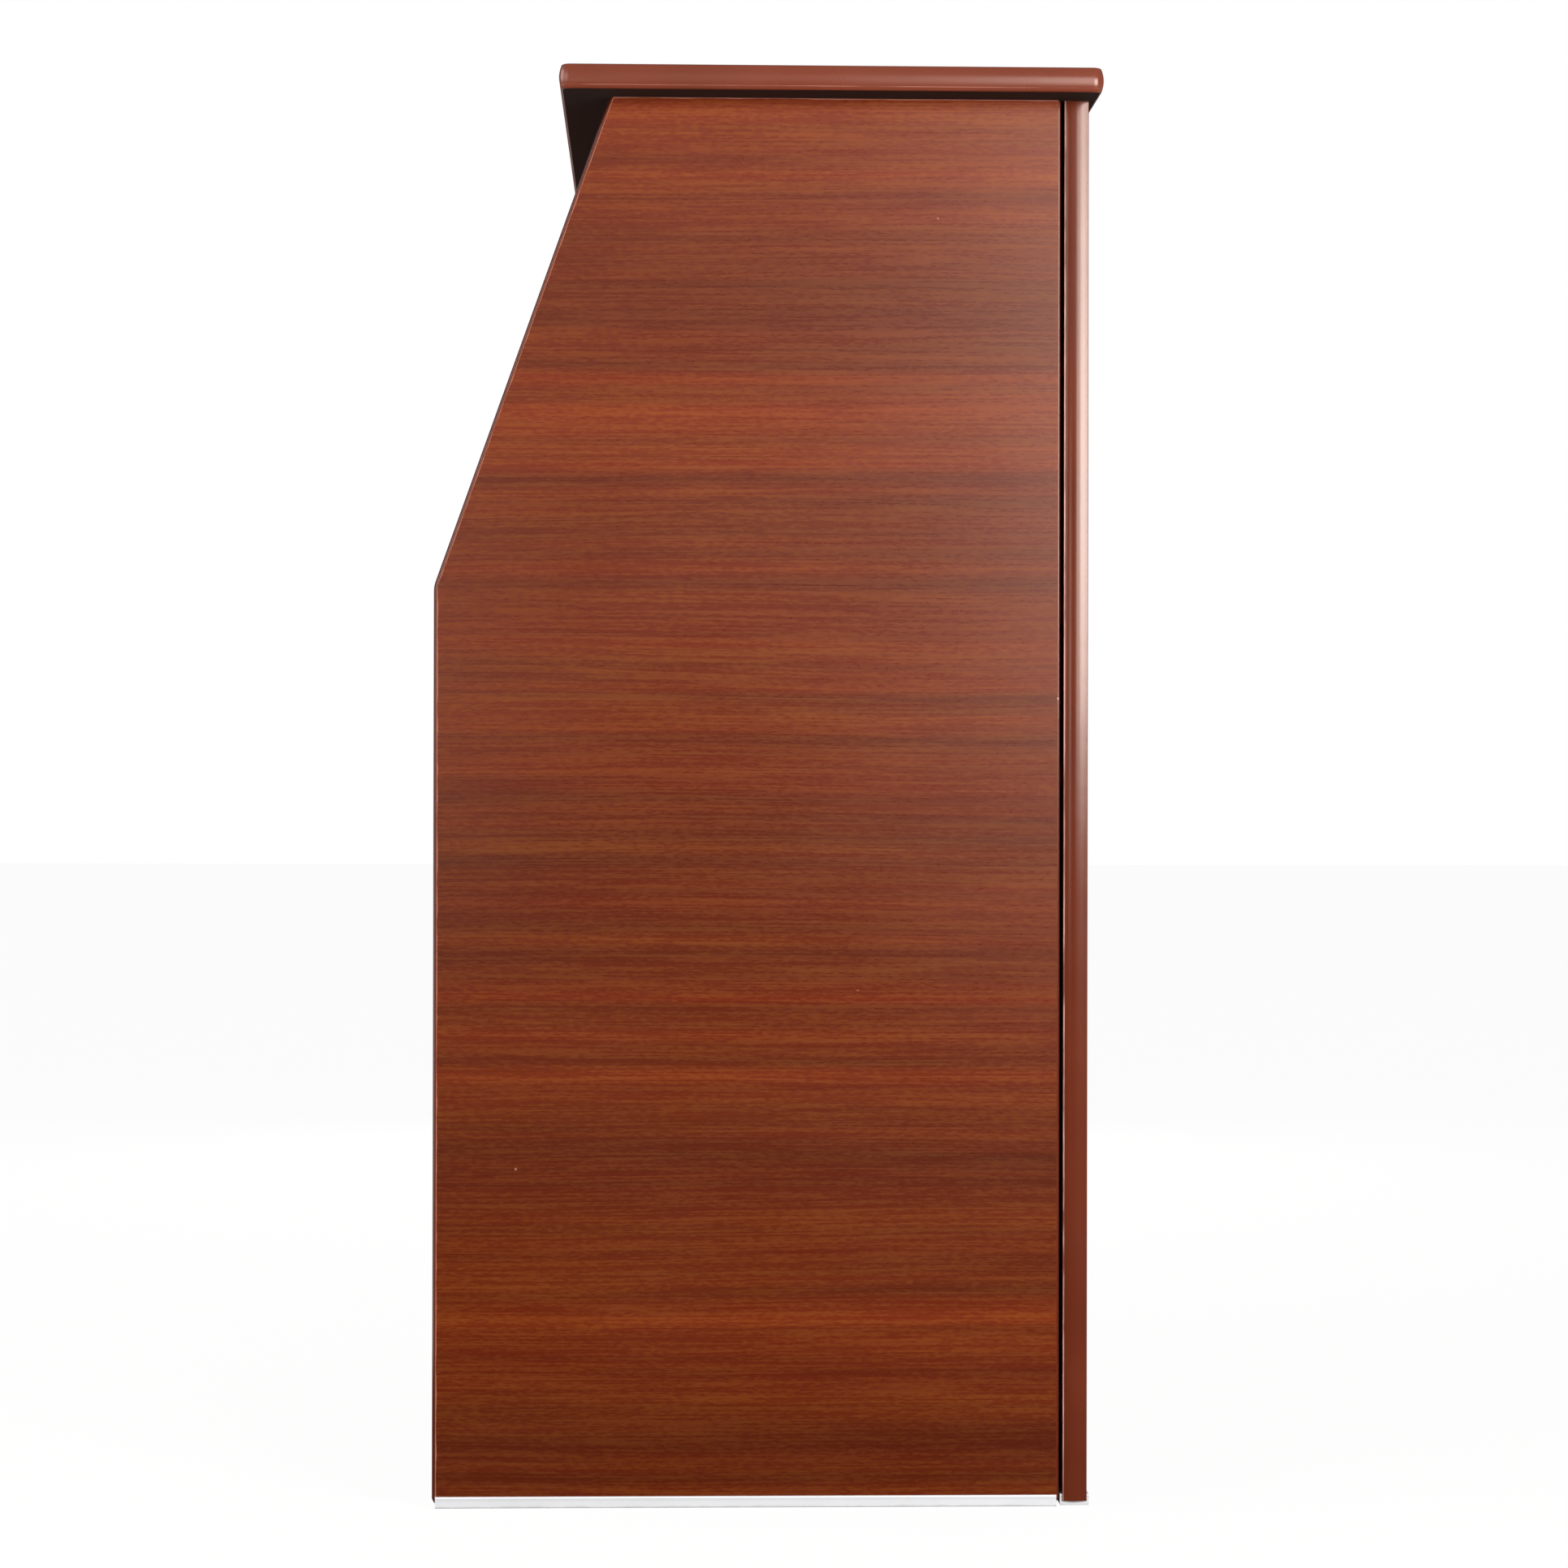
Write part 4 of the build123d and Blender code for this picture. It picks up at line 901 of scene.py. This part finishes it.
def drive_in():
    """Geometry nodes that stand a screw head on every point, facing out and turned at random."""
    inputs = {"Places": GEOMETRY, "Head": OBJECT, "Finish": FINISH, "Seed": "NodeSocketInt"}
    tree, ends = geometry_tree("drive in", inputs, "Screws")
    inputs = {"Vector": outward_direction(tree)}
    facing = add(tree, "FunctionNodeAlignRotationToVector", inputs, axis="Z").outputs[0]
    inputs = {RANDOM_MOST: 2 * pi, "Seed": ends["Seed"]}
    turn = add(tree, "FunctionNodeRandomValue", inputs, data_type="FLOAT")
    spin = add(tree, "ShaderNodeCombineXYZ", {"Z": turn.outputs[RANDOM_RESULT]}).outputs[0]
    inputs = {0: facing, 1: spin}
    spun = add(tree, "FunctionNodeRotateRotation", inputs, rotation_space="LOCAL").outputs[0]
    head = add(tree, "GeometryNodeObjectInfo", {"Object": ends["Head"]}).outputs["Geometry"]
    inputs = {"Points": ends["Places"], "Instance": head, "Rotation": spun}
    driven = add(tree, "GeometryNodeInstanceOnPoints", inputs).outputs[0]
    put_out(tree, driven, ends["Finish"])
    return tree


screwed = drive_in()
leaf_head = screw_head("leaf_head", radius=0.0026, height=0.0004, floor=0.00008)
pull_head = screw_head("pull_head", radius=0.0019, height=0.0004, floor=0.00008)
pan_head = screw_head("pan_head", radius=0.0036, height=0.0020, floor=0.0007)


def screws(name, body, head, finish, slot, places, seed):
    """Screws at (place, outward) pairs, riding with one body."""
    points = path_object(name + "_places", places, closed=False)
    piece = applied(name, points, screwed, Head=head, Finish=finish, Seed=seed)
    put_on(smoothed(piece), body, slot)


def spread(low, high, pitch):
    """Even places from low to high, about pitch apart, half a pitch in from each end."""
    count = max(2, round((high - low) / pitch))
    return [low + (high - low) * (i + 0.5) / count for i in range(count)]


LID_SCREW_PITCH = 0.078
LID_SCREW_OUT = 0.0105
fixed_low, fixed_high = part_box("lid_hinge_fixed_leaf")
pin_low, pin_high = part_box("lid_hinge_pin")
lid_axis = Vector((0, (pin_low.y + pin_high.y) / 2, (pin_low.z + pin_high.z) / 2))
up, out = Vector(lid_up), Vector(lid_out)
along_lid = spread(fixed_low.x, fixed_high.x, LID_SCREW_PITCH)
on_board = [(lid_axis + Vector((x, LID_SCREW_OUT, 0)), Vector(Z)) for x in along_lid]
on_lid = [(lid_axis + Vector((x, 0, 0)) + up * LID_SCREW_OUT, -out) for x in along_lid]
screws("lid_hinge_screws_fixed", "case", leaf_head, hinge_brass, "hinge_brass", on_board, 1)
screws("lid_hinge_screws_lid", "lid", leaf_head, hinge_brass, "hinge_brass", on_lid, 2)

DOOR_HINGE_SCREWS = 6
DOOR_SCREW_BACK = 0.0035
LEAF_STEEL = 0.0008
hinge_low, hinge_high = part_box("door_hinge_fixed_leaf_right")
leaf_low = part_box("door_hinge_leaf_right")[0]
screw_y = (hinge_low.y + hinge_high.y) / 2 + DOOR_SCREW_BACK
hinge_tall = hinge_high.z - hinge_low.z
heights = spread(hinge_low.z, hinge_high.z, hinge_tall / DOOR_HINGE_SCREWS)
fixed_places = []
for side, sign, seed in (("left", -1, 3), ("right", 1, 4)):
    fixed_x, door_x = sign * (hinge_high.x - LEAF_STEEL), sign * (leaf_low.x + LEAF_STEEL)
    fixed_places += [(Vector((fixed_x, screw_y, z)), Vector((-sign, 0, 0))) for z in heights]
    places = [(Vector((door_x, screw_y, z)), Vector((sign, 0, 0))) for z in heights]
    name, body = "door_hinge_screws_" + side, "door_" + side
    screws(name, body, leaf_head, hinge_brass, "hinge_brass", places, seed)
screws("door_hinge_screws_fixed", "case", leaf_head, hinge_brass, "hinge_brass", fixed_places, 5)

PULL_SCREW_INSET = 0.003
UPRIGHT_PULLS = (
    ("drawer_pull", "drawer", 6),
    ("door_pull_left", "door_left", 7),
    ("door_pull_right", "door_right", 8),
)
for name, body, seed in UPRIGHT_PULLS:
    low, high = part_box(name)
    middle = (low + high) / 2
    wide, tall = high.x - low.x, high.z - low.z
    way, span = (X, wide) if wide > tall else (Z, tall)
    reach = Vector(way) * (span / 2 - PULL_SCREW_INSET)
    flange = Vector((middle.x, low.y, middle.z))
    places = [(flange + reach * end, Vector(FORWARD)) for end in (-1, 1)]
    screws(name + "_screws", body, pull_head, pull_brass, "pull_metal", places, seed)
low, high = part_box("lid_pull")
pull_reach = (high.x - low.x) / 2 - PULL_SCREW_INSET
corners = [corner.co for corner in nodes["lid_pull"].data.vertices]
pull_ups = [corner.dot(up) for corner in corners]
flange = up * ((min(pull_ups) + max(pull_ups)) / 2) + out * max(c.dot(out) for c in corners)
places = [(flange + Vector((end * pull_reach, 0, 0)), out) for end in (-1, 1)]
screws("lid_pull_screws", "lid", pull_head, pull_brass, "pull_metal", places, 9)

DOWN = (0, 0, -1)
ANGLE_STEEL = 0.0015
ANGLE_SCREW_IN = 0.010
ANGLE_SCREW_SHARE = 0.62
angle_low, angle_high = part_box("top_brackets")
hole = (angle_high.z - angle_low.z) * ANGLE_SCREW_SHARE
places = []
for y in (angle_low.y + ANGLE_SCREW_IN, angle_high.y - ANGLE_SCREW_IN):
    for sign in (-1, 1):
        ceiling = (sign * (angle_high.x - hole), y, angle_high.z - ANGLE_STEEL)
        wall = (sign * (angle_high.x - ANGLE_STEEL), y, angle_high.z - hole)
        places.append((Vector(ceiling), Vector(DOWN)))
        places.append((Vector(wall), Vector((-sign, 0, 0))))
screws("angle_screws", "case", pan_head, zinc, "steel", places, 10)

DOOR_CATCH_SCREWS = (-0.034, -0.012, 0.012, 0.034)
LID_CATCH_END, LID_CATCH_FAR = 0.008, 0.038
LID_CATCH_FORWARD = 0.001
low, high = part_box("door_catch")
middle_y = (low.y + high.y) / 2
places = [(Vector((x, middle_y, low.z)), Vector(DOWN)) for x in DOOR_CATCH_SCREWS]
low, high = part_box("lid_catches")
middle_y = (low.y + high.y) / 2 - LID_CATCH_FORWARD
left_two = (low.x + LID_CATCH_END, low.x + LID_CATCH_FAR)
right_two = (high.x - LID_CATCH_FAR, high.x - LID_CATCH_END)
places += [(Vector((x, middle_y, low.z)), Vector(DOWN)) for x in left_two + right_two]
screws("catch_screws", "case", pull_head, zinc, "steel", places, 11)
for head in (leaf_head, pull_head, pan_head):
    bpy.data.objects.remove(head)

# ---------------------------------------------------------------- room, light and camera
# A pale floor that keeps a faint shadow, and a white backdrop with the unlit end of the
# room facing it. Softboxes stand right and left before the desk's right-hand end, one
# hangs over it, and a front and a far one light the sides that the others miss.
FLOOR_WHITE, FLOOR_MIRRORED, FLOOR_SHADOWLESS = 1.06, 0.3, 0.9
FLOOR_REACH = 30.0


def seen_directly(tree, path):
    """Rays of the camera, straight or through glass."""
    return arithmetic(tree, "MAXIMUM", path["Is Camera Ray"], path["Is Transmission Ray"])


def room_floor():
    material = bpy.data.materials.new("pale floor")
    material.use_nodes = True
    tree = material.node_tree
    tree.nodes.clear()
    part = axes(tree, object_place(tree))
    away = arithmetic(tree, "SUBTRACT", arithmetic(tree, "ABSOLUTE", part["Y"]), part["X"])
    near = ramp(tree, product(tree, away, 0.5), (0.37, 0.0), (0.48, 1.0))
    path = add(tree, "ShaderNodeLightPath").outputs
    seen = seen_directly(tree, path)
    mirrored = product(tree, path["Is Glossy Ray"], product(tree, near, FLOOR_MIRRORED))
    bright = sloped(tree, seen, FLOOR_WHITE, mirrored)
    paint = add(tree, "ShaderNodeBsdfDiffuse", {"Color": (0.5, 0.5, 0.5, 1)}).outputs[0]
    white = add(tree, "ShaderNodeEmission", {"Color": (1, 1, 1, 1), "Strength": bright}).outputs[0]
    share = product(tree, seen, FLOOR_SHADOWLESS)
    share = arithmetic(tree, "MAXIMUM", share, path["Is Glossy Ray"])
    mixed = add(tree, "ShaderNodeMixShader", {0: share, 1: paint, 2: white}).outputs[0]
    add(tree, "ShaderNodeOutputMaterial", {"Surface": mixed})
    mesh = bpy.data.meshes.new("floor")
    ends = ((-1, -1), (1, -1), (1, 1), (-1, 1))
    corners = [(x * FLOOR_REACH, y * FLOOR_REACH, 0) for x, y in ends]
    mesh.from_pydata(corners, [], [(0, 1, 2, 3)])
    mesh.materials.append(material)
    floor = placed("floor", mesh)


ROOM_FILL = 0.22


def room_light():
    """White to the eye, dim to what it lights, and in gloss a grey wall and a ceiling."""
    world = bpy.data.worlds.new("room")
    bpy.context.scene.world = world
    world.use_nodes = True
    tree = world.node_tree
    part = axes(tree, add(tree, "ShaderNodeTexCoord").outputs["Generated"])
    out = sloped(tree, part["X"], 0.5, 0.5)
    around = ramp(tree, out, (0.0, 0.10), (0.35, 0.25), (0.5, 0.22), (0.70, 0.02))
    ceiling = ramp(tree, part["Z"], (0.2, 0.0), (0.6, 0.4))
    path = add(tree, "ShaderNodeLightPath").outputs
    glossy = path["Is Glossy Ray"]
    mirrored = product(tree, glossy, arithmetic(tree, "MAXIMUM", around, ceiling))
    cast = sloped(tree, arithmetic(tree, "SUBTRACT", 1.0, glossy), ROOM_FILL, mirrored)
    strength = arithmetic(tree, "MAXIMUM", seen_directly(tree, path), cast)
    background = tree.nodes["Background"]
    background.inputs["Color"].default_value = (1, 1, 1, 1)
    tree.links.new(strength, background.inputs["Strength"])


LAMP_WARMTH = (1.0, 0.96, 0.93)


def softbox(name, place, aim, size, power, mirrored=True):
    """A lamp at a place, turned to its aim; size is its width and height."""
    light = bpy.data.lights.new(name, "AREA")
    light.shape = "RECTANGLE"
    light.size, light.size_y = size
    light.energy = power
    light.color = LAMP_WARMTH
    made = placed(name, light)
    made.visible_glossy = mirrored
    made.location = place
    made.rotation_euler = (Vector(aim) - Vector(place)).to_track_quat("-Z", "Y").to_euler()


room_floor()
room_light()
softbox("right softbox", (2.50, 1.72, 1.12), (0.4, 0.1, 0.85), (1.3, 0.95), 67)
softbox("near right softbox", (3.00, 0.85, 1.25), (0.4, 0.1, 0.80), (0.6, 1.30), 17)
softbox("overhead softbox", (3.60, -0.25, 1.75), (0.4, 0.0, 0.90), (1.0, 1.10), 2.0)
softbox("near left softbox", (3.00, -0.62, 0.75), (0.4, 0.0, 0.60), (0.3, 0.60), 1.9)
softbox("left softbox", (2.15, -1.95, 1.35), (0.4, -0.1, 0.70), (1.8, 1.40), 25)
softbox("front softbox", (0.20, -3.10, 1.70), (0.0, 0.0, 0.60), (2.0, 1.60), 50)
softbox("far softbox", (-3.00, 0.00, 1.30), (0.0, 0.0, 0.60), (1.2, 1.20), 35, mirrored=False)

STANDPOINT = (3.41752, -0.08200, 0.54681)
camera = bpy.data.cameras.new("camera")
camera.lens = 88.86
camera.clip_end = 100
viewpoint = placed("camera", camera)
ahead = Vector((-0.999482, 0.031866, 0.004396)).normalized()
right = Vector((0.031875, 0.999490, 0.001960)).normalized()
above = right.cross(ahead)
turn = Matrix((right, above, -ahead)).transposed().to_4x4()
viewpoint.matrix_world = Matrix.Translation(STANDPOINT) @ turn
bpy.context.scene.camera = viewpoint
bpy.context.scene.view_settings.view_transform = "Standard"
